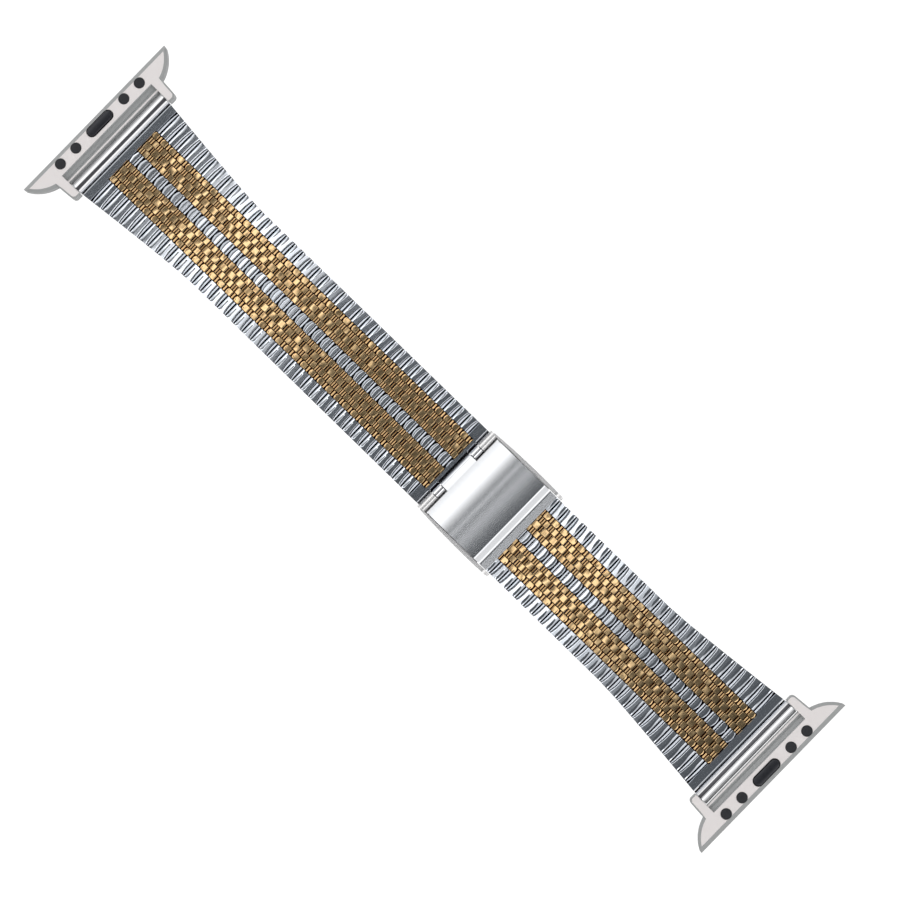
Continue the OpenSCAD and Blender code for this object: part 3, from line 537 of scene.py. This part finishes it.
carrier = {"groove": 0.12, "grooveDepth": 0.3, "skirt": -0.8, "plateTop": 0.83, "grow": 0.05, "solid": 0.95,
           "wallTop": 0.85, "gap": 0.1, "tongueTop": 0.7, "bed": (0.84, 0.96), "zoneGap": 0.08,
           "zoneReach": 0.33, "zoneStart": 0.46, "overlapY": 0.04}
lean = {"split": 1.46, "reach": 0.36, "power": 4.5, "above": 0.9}
# Of the four gold columns, from the middle out: where the strip starts and how far it runs on
goldStarts = ((0.3, 0.18), (0.82, 0.68), (0.3, 0.18), (0.42, 0.27))
strip = {"low": 0.85, "top": 0.95, "ledge": 0.91, "half": 0.62, "ledgeHalf": 0.6}


def linkCarrier(first, length, zones):
    # Plate, skirts, knuckles and the floors under the beads of one link, from x = first to length
    bm, c = bmesh.new(), carrier
    half, pocket, under, skirt = band["half"], band["pocket"], band["under"], c["skirt"]
    edge = band["width"] / 2
    low, high = first if first < 0 else half, length - half
    plate = [(low, under)]
    for n in range(1, int(length / band["pitch"] + 0.5)):
        x = n * band["pitch"]
        plate += [(x - c["groove"], under), (x, under + c["grooveDepth"]), (x + c["groove"], under)]
    plate += [(high, under), (high, skirt), (length - pocket, skirt), (length - pocket, c["plateTop"])]
    plate += [(first if first < 0 else pocket, c["plateTop"])]
    plate += [] if first < 0 else [(pocket, skirt), (low, skirt)]
    addSlab(bm, plate, -edge, edge)
    centre, gold = band["centre"] - c["grow"], band["gold"] + c["grow"]
    for y0, y1 in ((-centre, centre), (gold, edge), (-edge, -gold)):
        addBox(bm, (length - c["solid"], y0, under), (length - half, y1, c["wallTop"]))
        addSlab(bm, circlePoints(length, 0, band["knuckle"]), y0, y1)
    for y0, y1 in ((centre + c["gap"], gold - c["gap"]), (c["gap"] - gold, -centre - c["gap"])):
        if first >= 0:
            addBox(bm, (half, y0, under), (c["solid"], y1, c["tongueTop"]))
            addSlab(bm, circlePoints(0, 0, band["knuckle"]), y0, y1)
    for x0, x1, y0, y1 in zones:
        addBox(bm, (x0, y0, c["bed"][0]), (x1, y1, c["bed"][1]))
    return bm


def leanBars(mesh):
    # The wide outer bars spread towards the edge of the band, the narrow ones run out to a point
    pitch, split = band["pitch"], lean["split"]
    for v in mesh.vertices:
        x, y, z = v.co
        share = (abs(y) - band["gold"]) / (band["width"] / 2 - band["gold"])
        if share > 0 and z > lean["above"]:
            r = x % pitch
            hat = r / split if r < split else (pitch - r) / (pitch - split)
            v.co.x = x + lean["reach"] * share ** lean["power"] * hat
    return mesh


def place(mesh, half, s, name, body, slot, taper=True):
    # Moves a mesh drawn from the adapter to the clasp into the row frame, with the band's taper
    edge, gold = band["width"] / 2, band["gold"]
    for v in mesh.vertices:
        x, y, z = v.co
        if taper and abs(y) > gold + 0.03:
            share = (abs(y) - gold) / (edge - gold)
            y = math.copysign(gold + share * (halfWidth(s + x) - gold), y)
        x = s + x - band["total"] / 2
        v.co = Vector((x if half == "a" else -x, y, z + band["axisZ"])) * mm
    if half == "b":
        mesh.flip_normals()
    thing = bpy.data.objects.new(name, mesh)
    bpy.context.scene.collection.objects.link(thing)
    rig.ride(thing, body)
    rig.slot(thing, slot)
    return thing


def steelZones(low, high, reach):
    more = carrier["overlapY"]
    centre, gold, edge = band["centre"] - more, band["gold"] + more, band["width"] / 2
    return [(max(low, carrier["zoneStart"]) if low >= 0 else low, reach, -centre, centre),
            (low, high, gold, edge), (low, high, -edge, -gold)]


def steelBeads(rows, low=-99.0, high=99.0, sideLow=-99.0):
    gold, edge = band["gold"] + carrier["overlapY"], band["width"] / 2
    made = columnBeads("cell", 0, beadRules["cellWidth"], rows, low, high)
    for sign in (1, -1):
        made += columnBeads("side", sign * (gold + edge) / 2, edge - gold, rows, max(low, sideLow), high)
    return made


def goldBeads(rows, low=-99.0, high=99.0):
    made = []
    for sign in (1, -1):
        for n, kind in enumerate(("fine", "wide", "fine", "edge")):
            y = sign * (band["centre"] + (n + 0.5) * band["column"])
            width = beadRules["wideWidth" if kind == "wide" else "goldWidth"]
            made += columnBeads(kind, y, width, rows, low, high)
    return made


def goldStrip(low, high, reach):
    bm = bmesh.new()
    for sign in (1, -1):
        for n, (start, over) in enumerate(goldStarts):
            y = sign * (band["centre"] + (n + 0.5) * band["column"])
            wide, narrow = strip["half"], strip["ledgeHalf"]
            addBox(bm, (low if low < 0 else max(low, start), y - wide, strip["low"]),
                   (high, y + wide, strip["top"]))
            if reach > high:
                addBox(bm, (high, y - narrow, strip["ledge"]),
                       (min(high + over, reach), y + narrow, strip["top"]))
    return bm


def bodyOf(node):
    return frame["nodes"][node]["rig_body"]


def buildLinks():
    rows, length = [0, 1], band["length"]
    zones = steelZones(carrier["zoneGap"], length - carrier["zoneGap"], length + carrier["zoneReach"])
    body = finishMesh(linkCarrier(0, length, zones), "carrier", steel)
    steelUnit = leanBars(withBeads(body, steelBeads(rows), steel))
    goldUnit = withBeads(finishMesh(goldStrip(0.3, length, 99), "strip", gold), goldBeads(rows), gold)
    for half, count, inner in (("a", band["linksA"], band["innerA"]), ("b", band["linksB"], band["innerB"])):
        for n in range(1, count + 1):
            name = f"link_{half}_{n:02d}"
            s = inner - n * length
            made = place(steelUnit.copy(), half, s, name + ".steel", name, "link_steel")
            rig.replaces(made, name)
            place(goldUnit.copy(), half, s, name + ".gold", name, "gold_beads")


# Along the band, from the first row's axis; "eye" is the solid round the tube, with its half height and width
endLink = {"zone": -0.93, "beads": -0.88, "sideBeads": -0.62, "middleEdge": -0.92, "sideEdge": -0.68,
           "eye": (-2.9, -2.3, 0.55, 8.4)}


def buildEndLinks():
    e, pitch, first = endLink, band["pitch"], band["firstRow"]
    zones = steelZones(e["zone"], pitch - carrier["zoneGap"], pitch + carrier["zoneReach"])
    bm = linkCarrier(-band["endReach"], pitch, zones)
    edge, inner = band["width"] / 2, band["gold"] + carrier["overlapY"]
    edging = bmesh.new()
    for end, y0, y1 in ((e["middleEdge"], -inner, inner), (e["sideEdge"], inner, edge),
                        (e["sideEdge"], -edge, -inner)):
        addSlab(edging, [(-2.38, -0.85), (-2.18, -1.05), (end, -1.05), (end, 1.22), (end - 0.06, 1.3),
                         (-2.2, 1.3), (-2.38, 1.18)], y0, y1)
    x0, x1, tall, wide = e["eye"]
    addSlab(edging, [(x0, -tall), (x1, -tall), (x1, tall), (x0, tall)], -wide, wide)
    edgeUnit = finishMesh(edging, "endStrip", edgeSteel)
    beads = steelBeads([-1, 0], e["beads"], sideLow=e["sideBeads"])
    steelUnit = withBeads(finishMesh(bm, "endCarrier", steel), beads, steel)
    leanBars(steelUnit)
    goldMesh = finishMesh(goldStrip(e["beads"], pitch, 99), "endGold", gold)
    goldUnit = withBeads(goldMesh, goldBeads([-1, 0], e["beads"]), gold)
    for half in "ab":
        name = "end_link_" + half
        made = place(steelUnit.copy(), half, first, name + ".steel", name, "link_steel")
        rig.replaces(made, name)
        place(edgeUnit.copy(), half, first, name + ".edge", name, "link_steel")
        place(goldUnit.copy(), half, first, name + ".gold", name, "gold_beads")


buildLinks()
buildEndLinks()
print("links made")

adapter = {"width": 36.4, "height": 3.3, "armGap": 23.1, "arm": 1.9, "length": 8.15, "face": 3.5,
           "bevel": 0.85, "tube": 6.9, "tubeRadius": 1.5, "hornEnd": 4.2, "hornBulge": 0.6, "padX": 1.75,
           "pads": (6.2, 10.2), "padRadius": 1.0, "lock": (6.1, 2.0), "armInset": 0.3, "hornInset": 0.55,
           "hornSteps": 20}


def hornArc(count):
    a = adapter
    start, end = Vector((0.6, a["width"] / 2 - 0.1)), Vector((a["hornEnd"], a["armGap"] / 2 + a["arm"]))
    chord = end - start
    out = Vector((-chord.y, chord.x)).normalized()
    radius = (chord.length ** 2 / 4 + a["hornBulge"] ** 2) / (2 * a["hornBulge"])
    centre = (start + end) / 2 - out * (radius - a["hornBulge"])
    angles = [math.atan2(*(p - centre).yx) for p in (start, end)]
    return [centre + radius * Vector((math.cos(t), math.sin(t)))
            for t in (angles[0] + (angles[1] - angles[0]) * n / count for n in range(count + 1))]


def addHorn(bm, side):
    # One horn with its arm, as rings from the skin side up, inset where their edges are bevelled
    a = adapter
    y0, y1 = a["armGap"] / 2, a["armGap"] / 2 + a["arm"]
    bevel, inset, horn = a["bevel"], a["armInset"], a["hornInset"]
    points = [((0, y0), (bevel, 0), 1.1 * bevel), ((0, a["width"] / 2), (bevel, -1.1 * horn), 1.1 * bevel)]
    arc = hornArc(a["hornSteps"])
    for n, point in enumerate(arc):
        along = arc[min(n + 1, a["hornSteps"])] - arc[max(n - 1, 0)]
        inward = Vector((along.y, -along.x)).normalized() * horn
        drop = 0.9 * horn
        if point.x + inward.x < bevel:
            inward.x = bevel - point.x
        points.append((point, inward, drop))
    for x, y in ((5.2, y1 - 0.06), (6.6, y1 - 0.17), (a["length"] - 0.7, y1 - 0.24),
                 (a["length"] - 0.3, y1 - 0.36), (a["length"] - 0.08, y1 - 0.62)):
        points.append(((x, y), (-0.05 - (0.2 if x > 7.6 else 0), -inset), inset))
    points += [((a["length"], y1 - 0.85), (-inset, -0.1), inset), ((a["length"], y0), (-inset, 0), inset)]
    top = a["height"] / 2
    rings = []
    for level, moved in ((-top, 1), (-top, 0), (top, 0), (top, 1)):
        ring = []
        for (x, y), (dx, dy), drop in points:
            z = level if moved else level + (drop if level < 0 else -drop)
            ring.append(bm.verts.new((x + dx * moved, side * (y + dy * moved), z)))
        rings.append(ring)
    count = len(points)
    for lower, upper in zip(rings, rings[1:]):
        for n in range(count):
            m = (n + 1) % count
            bm.faces.new((lower[n], lower[m], upper[m], upper[n]))
    bm.faces.new(rings[0])
    bm.faces.new(rings[-1])


def obroundPoints(length, width, count=12):
    half = (length - width) / 2
    return [(width / 2 * math.cos(math.pi * n / count), half + width / 2 * math.sin(math.pi * n / count))
            for n in range(count + 1)] + \
           [(-width / 2 * math.cos(math.pi * n / count), -half - width / 2 * math.sin(math.pi * n / count))
            for n in range(count + 1)]


def addColumn(bm, x, y, outline, levels):
    # Rings of an outline at (height, scale), closed at both ends
    rings = [[bm.verts.new((x + px * scale, y + py - (1 - scale) * math.copysign(min(abs(py), 1), py), z))
              for px, py in outline] for z, scale in levels]
    for lower, upper in zip(rings, rings[1:]):
        for n in range(len(outline)):
            m = (n + 1) % len(outline)
            bm.faces.new((lower[n], lower[m], upper[m], upper[n]))
    bm.faces.new(rings[0][::-1])
    bm.faces.new(rings[-1])


def cutWith(mesh, cutter):
    objects = [bpy.data.objects.new("cut", m) for m in (mesh, cutter)]
    for thing in objects:
        bpy.context.scene.collection.objects.link(thing)
    modifier = objects[0].modifiers.new("cut", "BOOLEAN")
    modifier.operation, modifier.object, modifier.solver = "DIFFERENCE", objects[1], "EXACT"
    graph = bpy.context.evaluated_depsgraph_get()
    done = bpy.data.meshes.new_from_object(objects[0].evaluated_get(graph))
    for thing in objects:
        bpy.data.objects.remove(thing)
    return done


def buildAdapters():
    a = adapter
    top, arm, lip = a["height"] / 2, a["armGap"] / 2, a["tube"] - a["tubeRadius"] - 0.2
    bm = bmesh.new()
    for side in (1, -1):
        addHorn(bm, side)
    section = [(0, -top + 1.1 * a["bevel"]), (a["bevel"], -top), (lip, -top), (lip, 0.72), (lip - 0.12, 0.85),
               (lip - 0.42, 0.85), (lip - 0.62, 0.7), (a["face"] + 0.75, 0.42), (a["face"] + 0.18, 0.62),
               (a["face"] + 0.04, top - 0.12), (a["face"] - 0.06, top), (a["bevel"], top),
               (0, top - 1.1 * a["bevel"])]
    addSlab(bm, section, -arm, arm)
    plate = finishMesh(bm, "plate", adapterSteel, 28)
    bm = bmesh.new()
    levels = [(top - 1.0, 1), (top + 1, 1)]
    circle = circlePoints(0, 0, a["padRadius"] + 0.03, 40)
    for y in a["pads"]:
        for side in (1, -1):
            addColumn(bm, a["padX"], side * y, circle, levels)
    addColumn(bm, a["padX"], 0, obroundPoints(a["lock"][0] + 0.1, a["lock"][1] + 0.1), levels)
    plate = cutWith(plate, finishMesh(bm, "holes", rubber))
    bm = bmesh.new()
    circle = circlePoints(0, 0, a["padRadius"], 40)
    for y in a["pads"]:
        for side in (1, -1):
            addColumn(bm, a["padX"], side * y, circle,
                      [(top - 0.98, 1), (top + 0.02, 1), (top + 0.1, 0.95), (top + 0.12, 0.86)])
    pads = finishMesh(bm, "pads", rubber, 35)
    bm = bmesh.new()
    length, width = a["lock"]
    addColumn(bm, a["padX"], 0, obroundPoints(length, width), [(top - 1.25, 1), (top - 0.55, 1)])
    addColumn(bm, a["padX"], 0, obroundPoints(length - 0.3, width - 0.3),
              [(top - 0.56, 1), (top + 0.16, 1), (top + 0.28, 0.94), (top + 0.35, 0.78)])
    lock = finishMesh(bm, "lock", dark, 35)
    for half in "ab":
        for mesh, node, slot in ((plate, "adapter", "adapter_steel"), (pads, "pads", "pad_rubber"),
                                 (lock, "lock", "lock_steel")):
            name = f"{node}_{half}"
            made = place(mesh.copy(), half, 0, name + ".look", bodyOf(name), slot, False)
            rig.replaces(made, name)


# "groove" is where the seam lies across a tube of radius 1, "sunk" its radius there; faces that lie below "grooveBelow"
# take the dark seam material, painted shade
tube = {"bore": 0.58, "chamfer": 1.41, "radius": 1.5, "inset": 0.1, "sides": 96, "groove": (-0.1, 0.42),
        "sunk": 0.93, "grooveBelow": 0.95}


def buildTubes():
    # A rolled tube whose seam is a shallow groove beside the top; the groove's faces are painted dark as shade
    a, t = adapter, tube
    bm = bmesh.new()
    half, count = a["armGap"] / 2 - 0.1, t["sides"]
    outline = []
    for x, z in circlePoints(0, 0, 1, count):
        scale = t["sunk"] if z > 0 and t["groove"][0] < x < t["groove"][1] else 1
        outline.append((x * scale, z * scale))
    rings = []
    for y, r in ((-half, t["bore"]), (-half, t["chamfer"]), (-half + t["inset"], t["radius"]),
                 (half - t["inset"], t["radius"]), (half, t["chamfer"]), (half, t["bore"])):
        rings.append([bm.verts.new((x * r, y, z * r)) for x, z in outline])
    rings.append(rings[0])
    for lower, upper in zip(rings, rings[1:]):
        for n in range(count):
            m = (n + 1) % count
            face = bm.faces.new((lower[n], lower[m], upper[m], upper[n]))
            # Faces in the groove take the dark material, painted shade
            sunk = all(math.hypot(*outline[k]) < t["grooveBelow"] for k in (n, m))
            face.material_index = 1 if sunk else 0
    unit = finishMesh(bm, "tube", chrome, 40)
    unit.materials.append(seam)
    for half in "ab":
        name = f"end_tube_{half}"
        made = place(unit.copy(), half, a["tube"], name + ".look", bodyOf(name), "polished_steel", False)
        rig.replaces(made, name)


lockSpring = {"wire": 0.11, "steps": 90, "sides": 8, "turns": 3, "gap": 0.02, "press": 0.52}


def buildLockSprings():
    # Coils that close up as a lock is pressed
    wire, steps, sides, turns, gap, press = lockSpring.values()
    for half in "ab":
        name = "lock_spring_" + half
        low, high = (Vector(corner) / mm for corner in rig.box(name))
        radius = (high.x - low.x) / 2 - wire - gap
        bm = bmesh.new()
        for middle in (low.y + (high.x - low.x) / 2, high.y - (high.x - low.x) / 2):
            rings = []
            for n in range(steps + 1):
                turn = 2 * math.pi * turns * n / steps
                z = low.z + wire + gap + (high.z - low.z - 2 * wire - 2 * gap) * n / steps
                ring = []
                for k in range(sides):
                    angle = 2 * math.pi * k / sides
                    reach = radius + wire * math.cos(angle)
                    ring.append(bm.verts.new(((low.x + high.x) / 2 + reach * math.cos(turn),
                                              middle + reach * math.sin(turn), z + wire * math.sin(angle))))
                rings.append(ring)
            for one, two in zip(rings, rings[1:]):
                for k in range(sides):
                    m = (k + 1) % sides
                    bm.faces.new((one[k], two[k], two[m], one[m]))
            bm.faces.new(rings[0])
            bm.faces.new(rings[-1][::-1])
        bm.transform(Matrix.Scale(mm, 4))
        made = bpy.data.objects.new(name + ".look", finishMesh(bm, name, chrome, 60))
        bpy.context.scene.collection.objects.link(made)
        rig.ride(made, bodyOf(name))
        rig.replaces(made, name)
        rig.slot(made, "spring_steel")
        tall = high.z - low.z
        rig.squash(made, f"lock_{half}_press", axis=(0, 0, 1), anchor=low * mm, keep=(tall - press) / tall)


buildAdapters()
buildTubes()
buildLockSprings()
print("adapters made")

clasp = {"pinX": 6.975, "sheet": 0.7, "top": 2.75, "crown": 8.5, "fall": 0.16, "bend": 12.8, "tip": 15.9,
         "lipTop": 1.86, "low": 1.52, "steep": 29, "inner": (3.78, 5.88), "flangeEnd": 12.4,
         "rollRadius": 0.99, "notch": 1.1, "rim": 0.12, "flange": 0.45}


def archTop(x):
    # Height of the cover's top over the hinge axes, x from the clasp's pin
    c = clasp
    if x < c["crown"]:
        return c["top"] - (c["top"] - 1) * ((c["crown"] - x) / (c["crown"] - 0.4)) ** 2.2
    return c["top"] - c["fall"] * ((x - c["crown"]) / (c["bend"] - c["crown"])) ** 2


def coverLine():
    # The top of the cover from its roll to the tip of its lip, with the bend
    line = [(x / 5, archTop(x / 5)) for x in range(2, 65)]
    x, z = line[-1]
    start = (line[-1][1] - line[-2][1]) / 0.2
    steep = -math.tan(math.radians(clasp["steep"]))
    slopes = [start + (steep - start) * n / 4 for n in range(1, 5)] + [steep] * 7
    slopes += [steep * (1 - n / 6) for n in range(1, 7)]
    drop = z - clasp["lipTop"]
    step = drop / -sum(slopes)
    for slope in slopes:
        x, z = x + step, z + slope * step
        line.append((x, z))
    tip = clasp["tip"]
    return line + [(tip - 0.6, z), (tip - 0.1, z), (tip, z - 0.1)]


def buildCover():
    c = clasp
    edge, start = band["width"] / 2, c["notch"]
    top = coverLine()
    below = [(top[-1][0], c["low"])]
    below += [(x, max(z - c["sheet"], c["low"])) for x, z in reversed(top[6:-3:3])]
    bm = bmesh.new()
    roll = c["inner"][0] - 0.08
    notch = [p for p in top if p[0] > 1.12]
    addSlab(bm, [(-0.4, 0.9)] + top[3:] + below + [(1.2, 0.4), (0, 0.2)], -roll, roll)
    addSlab(bm, circlePoints(0, 0, c["rollRadius"], 40), -roll, roll)
    addSlab(bm, [(0, -0.3), (1.5, -0.3), (1.7, 1.0), (0, 0.97)], -roll, roll)
    flange = [(x, z - 0.35) for x, z in top if 1.4 < x < 12.1]
    flange += [(c["flangeEnd"], 1.0), (1.4, 1.0)]
    for sign in (1, -1):
        low, high = sorted((sign * roll, sign * (edge - c["rim"])))
        addSlab(bm, [(start, notch[0][1] - 0.16)] + notch + below + [(start, notch[0][1] - 0.6)], low, high)
        low, high = sorted((sign * (edge - c["rim"]), sign * edge))
        rim = [(x, z - 0.07) for x, z in notch]
        addSlab(bm, [(start, rim[0][1])] + rim + below + [(start, rim[0][1] - 0.5)], low, high)
        low, high = sorted((sign * (edge - c["flange"]), sign * (edge - 0.01)))
        addSlab(bm, flange, low, high)
    for v in bm.verts:
        v.co.x += c["pinX"] + band["total"] / 2
    mesh = finishMesh(bm, "cover", coverSteel, 25)
    made = place(mesh, "a", 0, "clasp_cover.look", "clasp_cover", "clasp_steel", False)
    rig.replaces(made, "clasp_cover")


# Along the band, from the axis of the first hinge; the clasp's pin lies at "pin"
claspLink = {"end": 2.2, "goldEnd": 1.4, "pin": 3.35, "tubes": (1.23, 6.05), "ledge": (-1.05, -0.95),
             "ledgeHalf": 0.3, "arm": (-0.6, 0.3), "rollGap": 0.1}


def buildClaspLink():
    c = claspLink
    goldY, edge = band["gold"] + carrier["overlapY"], band["width"] / 2
    half, under = band["half"], band["under"]
    end, goldEnd = c["end"], c["goldEnd"]
    bm, rolls = bmesh.new(), bmesh.new()
    base = [(end, 0.42), (end, -0.8), (end - 0.25, under), (half, under), (half, -0.8), (0.85, -0.8)]
    addSlab(bm, [(0.85, 0.83), (goldEnd, 0.83), (goldEnd, 1.12), (goldEnd + 0.05, 1.17),
                 (end - 0.22, 1.17), (end - 0.08, 0.75)] + base, -goldY, goldY)
    for y0, y1 in ((-edge, -goldY), (goldY, edge)):
        addSlab(bm, [(0.85, 0.83), (0.12, 0.86), (0.12, 1.2), (0.17, 1.26), (end - 0.3, 1.26),
                     (end - 0.16, 1.0), (end - 0.08, 0.75)] + base, y0, y1)
    addBox(bm, (0.42, -1.14, 0.8), (goldEnd, 1.14, 0.95))
    # A ledge under the gap beside the clasp's knuckles: a dark sheet that stands in for the shade in the gap, its top
    # painted near black by the steel's painted floor shade
    (low, top), reach = c["ledge"], c["ledgeHalf"]
    addSlab(bm, [(end - reach, top), (end + reach, top), (end + reach, low), (end - reach, low)], -edge, edge)
    y0, y1 = c["tubes"]
    for low, high in ((y0, y1), (-y1, -y0)):
        addSlab(bm, circlePoints(0, 0, band["knuckle"]), low, high)
        addBox(bm, (half, low, under), (0.95, high, 0.7))
    y0, y1 = clasp["inner"]
    armLow, armTop = c["arm"]
    for low, high in ((y0 + c["rollGap"], y1 - c["rollGap"]), (-y1 + c["rollGap"], -y0 - c["rollGap"])):
        addSlab(rolls, circlePoints(c["pin"], 0, clasp["rollRadius"], 40), low, high)
        addSlab(bm, [(end - 0.2, armLow), (c["pin"], armLow), (c["pin"], armTop), (end - 0.2, armTop)],
                low, high)
    beads = columnBeads("cell", 0, beadRules["cellWidth"], [0], 0, goldEnd - 0.06)
    steelMesh = withBeads(finishMesh(bm, "claspLink", steel), beads, steel)
    inner = band["innerA"]
    made = place(steelMesh, "a", inner, "clasp_link.steel", "clasp_link", "link_steel", False)
    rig.replaces(made, "clasp_link")
    rollMesh = finishMesh(rolls, "claspRolls", chrome, 40)
    place(rollMesh, "a", inner, "clasp_link.rolls", "clasp_link", "link_steel", False)
    stripMesh = finishMesh(goldStrip(0.85, goldEnd, goldEnd), "claspGold", gold)
    goldMesh = withBeads(stripMesh, goldBeads([0], 0, goldEnd - 0.06), gold)
    place(goldMesh, "a", inner, "clasp_link.gold", "clasp_link", "gold_beads", False)


buildCover()
buildClaspLink()
print("clasp made")

nodeLooks = {"clasp_base": claspSteel, "clasp_pin": seam, "slider": claspSteel, "slider_latch": claspSteel}
for half in "ab":
    for kind in ("spring_bar", "bar_spring", "bar_tip_left", "bar_tip_right"):
        nodeLooks[f"{kind}_{half}"] = chrome
for name, look in nodeLooks.items():
    made = frame["nodes"][name]
    made.data.materials.clear()
    made.data.materials.append(look)

# Side in metres, depth in mm below the part; "glow" is what the camera and the metal see of the floor
floor = {"side": 3.0, "depth": -60, "grey": 0.3, "rough": 0.9, "glow": 0.88}


def makeFloor():
    # Below the most curled pose. White to the camera and in the metal, and it keeps a soft shadow
    bm = bmesh.new()
    side, depth, grey = floor["side"], floor["depth"] * mm, floor["grey"]
    bm.faces.new([bm.verts.new((x * side, y * side, depth))
                  for x, y in ((-1, -1), (1, -1), (1, 1), (-1, 1))])
    material, tree, shader = newMaterial("floor")
    connect(tree, (grey, grey, grey, 1), shader["Base Color"])
    connect(tree, floor["rough"], shader["Roughness"])
    path = addNode(tree, "ShaderNodeLightPath").outputs
    seen = math2(tree, "MAXIMUM", path["Is Camera Ray"], math2(tree, "MAXIMUM",
        path["Is Glossy Ray"], path["Is Transmission Ray"]))
    connect(tree, (1, 1, 1, 1), shader["Emission Color"])
    connect(tree, math2(tree, "MULTIPLY", seen, floor["glow"]), shader["Emission Strength"])
    mesh = finishMesh(bm, "floor", material)
    thing = bpy.data.objects.new("floor", mesh)
    bpy.context.scene.collection.objects.link(thing)
    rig.stage(thing)


# The studio by angle from straight up towards +X, in degrees: brightness and warmth
sky = {"sides": 0.5, "sidesFrom": (0.35, 0.7), "lowest": 0.02, "warmTint": 0.07, "strength": 2.0, "zones": [
    (-90, 0.6, 0), (-62, 0.8, 0), (-46, 1.3, 0), (-30, 1.9, 0), (-24, 1.2, 0), (-18.5, 0.7, 0),
    (-14, 0.25, -0.3), (-12.6, 0.11, -0.5), (-10.2, 0.11, -0.5), (-9.9, 2.0, 0), (-8.6, 2.0, 0),
    (-8.3, 0.15, -0.5), (-5.2, 0.13, -0.5), (-4.8, 0.09, -0.5), (-2.4, 0.09, -0.5), (-2.15, 2.0, 0),
    (-1.3, 1.8, 0), (-0.7, 0.9, -0.2), (-0.4, 0.3, -0.3), (0.5, 0.22, -0.3), (1.6, 0.11, -0.5),
    (12, 0.1, -0.5), (18, 0.15, -0.3), (26, 1.1, 0), (36, 1.9, 0), (46, 1.3, 0), (62, 0.8, 0), (90, 0.6, 0)]}


def makeSky():
    world = bpy.data.worlds.new("studio")
    bpy.context.scene.world = world
    world.use_nodes = True
    tree = world.node_tree
    tree.nodes.clear()
    direction = addNode(tree, "ShaderNodeTexCoord").outputs["Generated"]
    split = addNode(tree, "ShaderNodeSeparateXYZ", {0: direction}).outputs
    slope = math2(tree, "DIVIDE", split[0], math2(tree, "MAXIMUM", split[2], sky["lowest"]))
    share = addNode(tree, "ShaderNodeMapRange",
        {"Value": math2(tree, "ARCTANGENT", slope), "From Min": -math.pi / 2,
         "From Max": math.pi / 2}).outputs[0]
    # A ramp ends at 1, so it holds half of each brightness and the strength doubles it
    tint, zones = sky["warmTint"], []
    for angle, value, warmth in sky["zones"]:
        colour = (value * (0.5 + tint * warmth), value / 2, value * (0.5 - tint * warmth))
        zones.append(((angle + 90) / 180, colour))
    ramp = fillRamp(addNode(tree, "ShaderNodeValToRGB", {0: share}), zones)
    aside = addNode(tree, "ShaderNodeMapRange",
        {"Value": math2(tree, "ABSOLUTE", split[1]), "From Min": sky["sidesFrom"][0],
         "From Max": sky["sidesFrom"][1]}, clamp=True).outputs[0]
    side = sky["sides"] / 2
    both = mixColour(tree, aside, ramp, (side, side, side, 1))
    background = addNode(tree, "ShaderNodeBackground", {"Color": both, "Strength": sky["strength"]})
    out = addNode(tree, "ShaderNodeOutputWorld")
    tree.links.new(background.outputs[0], out.inputs[0])


# Lengths in mm, angles in degrees, scale in pixels a millimetre
shot = {"distance": 600, "tilt": 4.75, "turn": 44.23, "scale": 5.606, "shift": (0.0228, -0.0063), "lift": 3,
        "sensor": 36, "pixels": 900, "clip": (0.01, 10)}


def makeCamera():
    camera = bpy.data.cameras.new("camera")
    thing = bpy.data.objects.new("camera", camera)
    bpy.context.scene.collection.objects.link(thing)
    tilt, turn = math.radians(shot["tilt"]), math.radians(shot["turn"])
    back = Vector((math.sin(tilt), 0, math.cos(tilt)))
    right = Vector((math.cos(tilt), 0, -math.sin(tilt)))
    up = Vector((0, 1, 0))
    across = right * math.cos(turn) + up * math.sin(turn)
    upward = up * math.cos(turn) - right * math.sin(turn)
    matrix = Matrix((across, upward, back)).transposed().to_4x4()
    matrix.translation = back * shot["distance"] * mm + Vector((0, 0, shot["lift"] * mm))
    thing.matrix_world = matrix
    camera.sensor_width = shot["sensor"]
    camera.lens = shot["scale"] * shot["distance"] * shot["sensor"] / shot["pixels"]
    camera.shift_x, camera.shift_y = shot["shift"]
    camera.clip_start, camera.clip_end = shot["clip"]
    bpy.context.scene.camera = thing


makeFloor()
makeSky()
makeCamera()
print("stage made")
bpy.context.scene.view_settings.view_transform = "Standard"
writeSize("all")
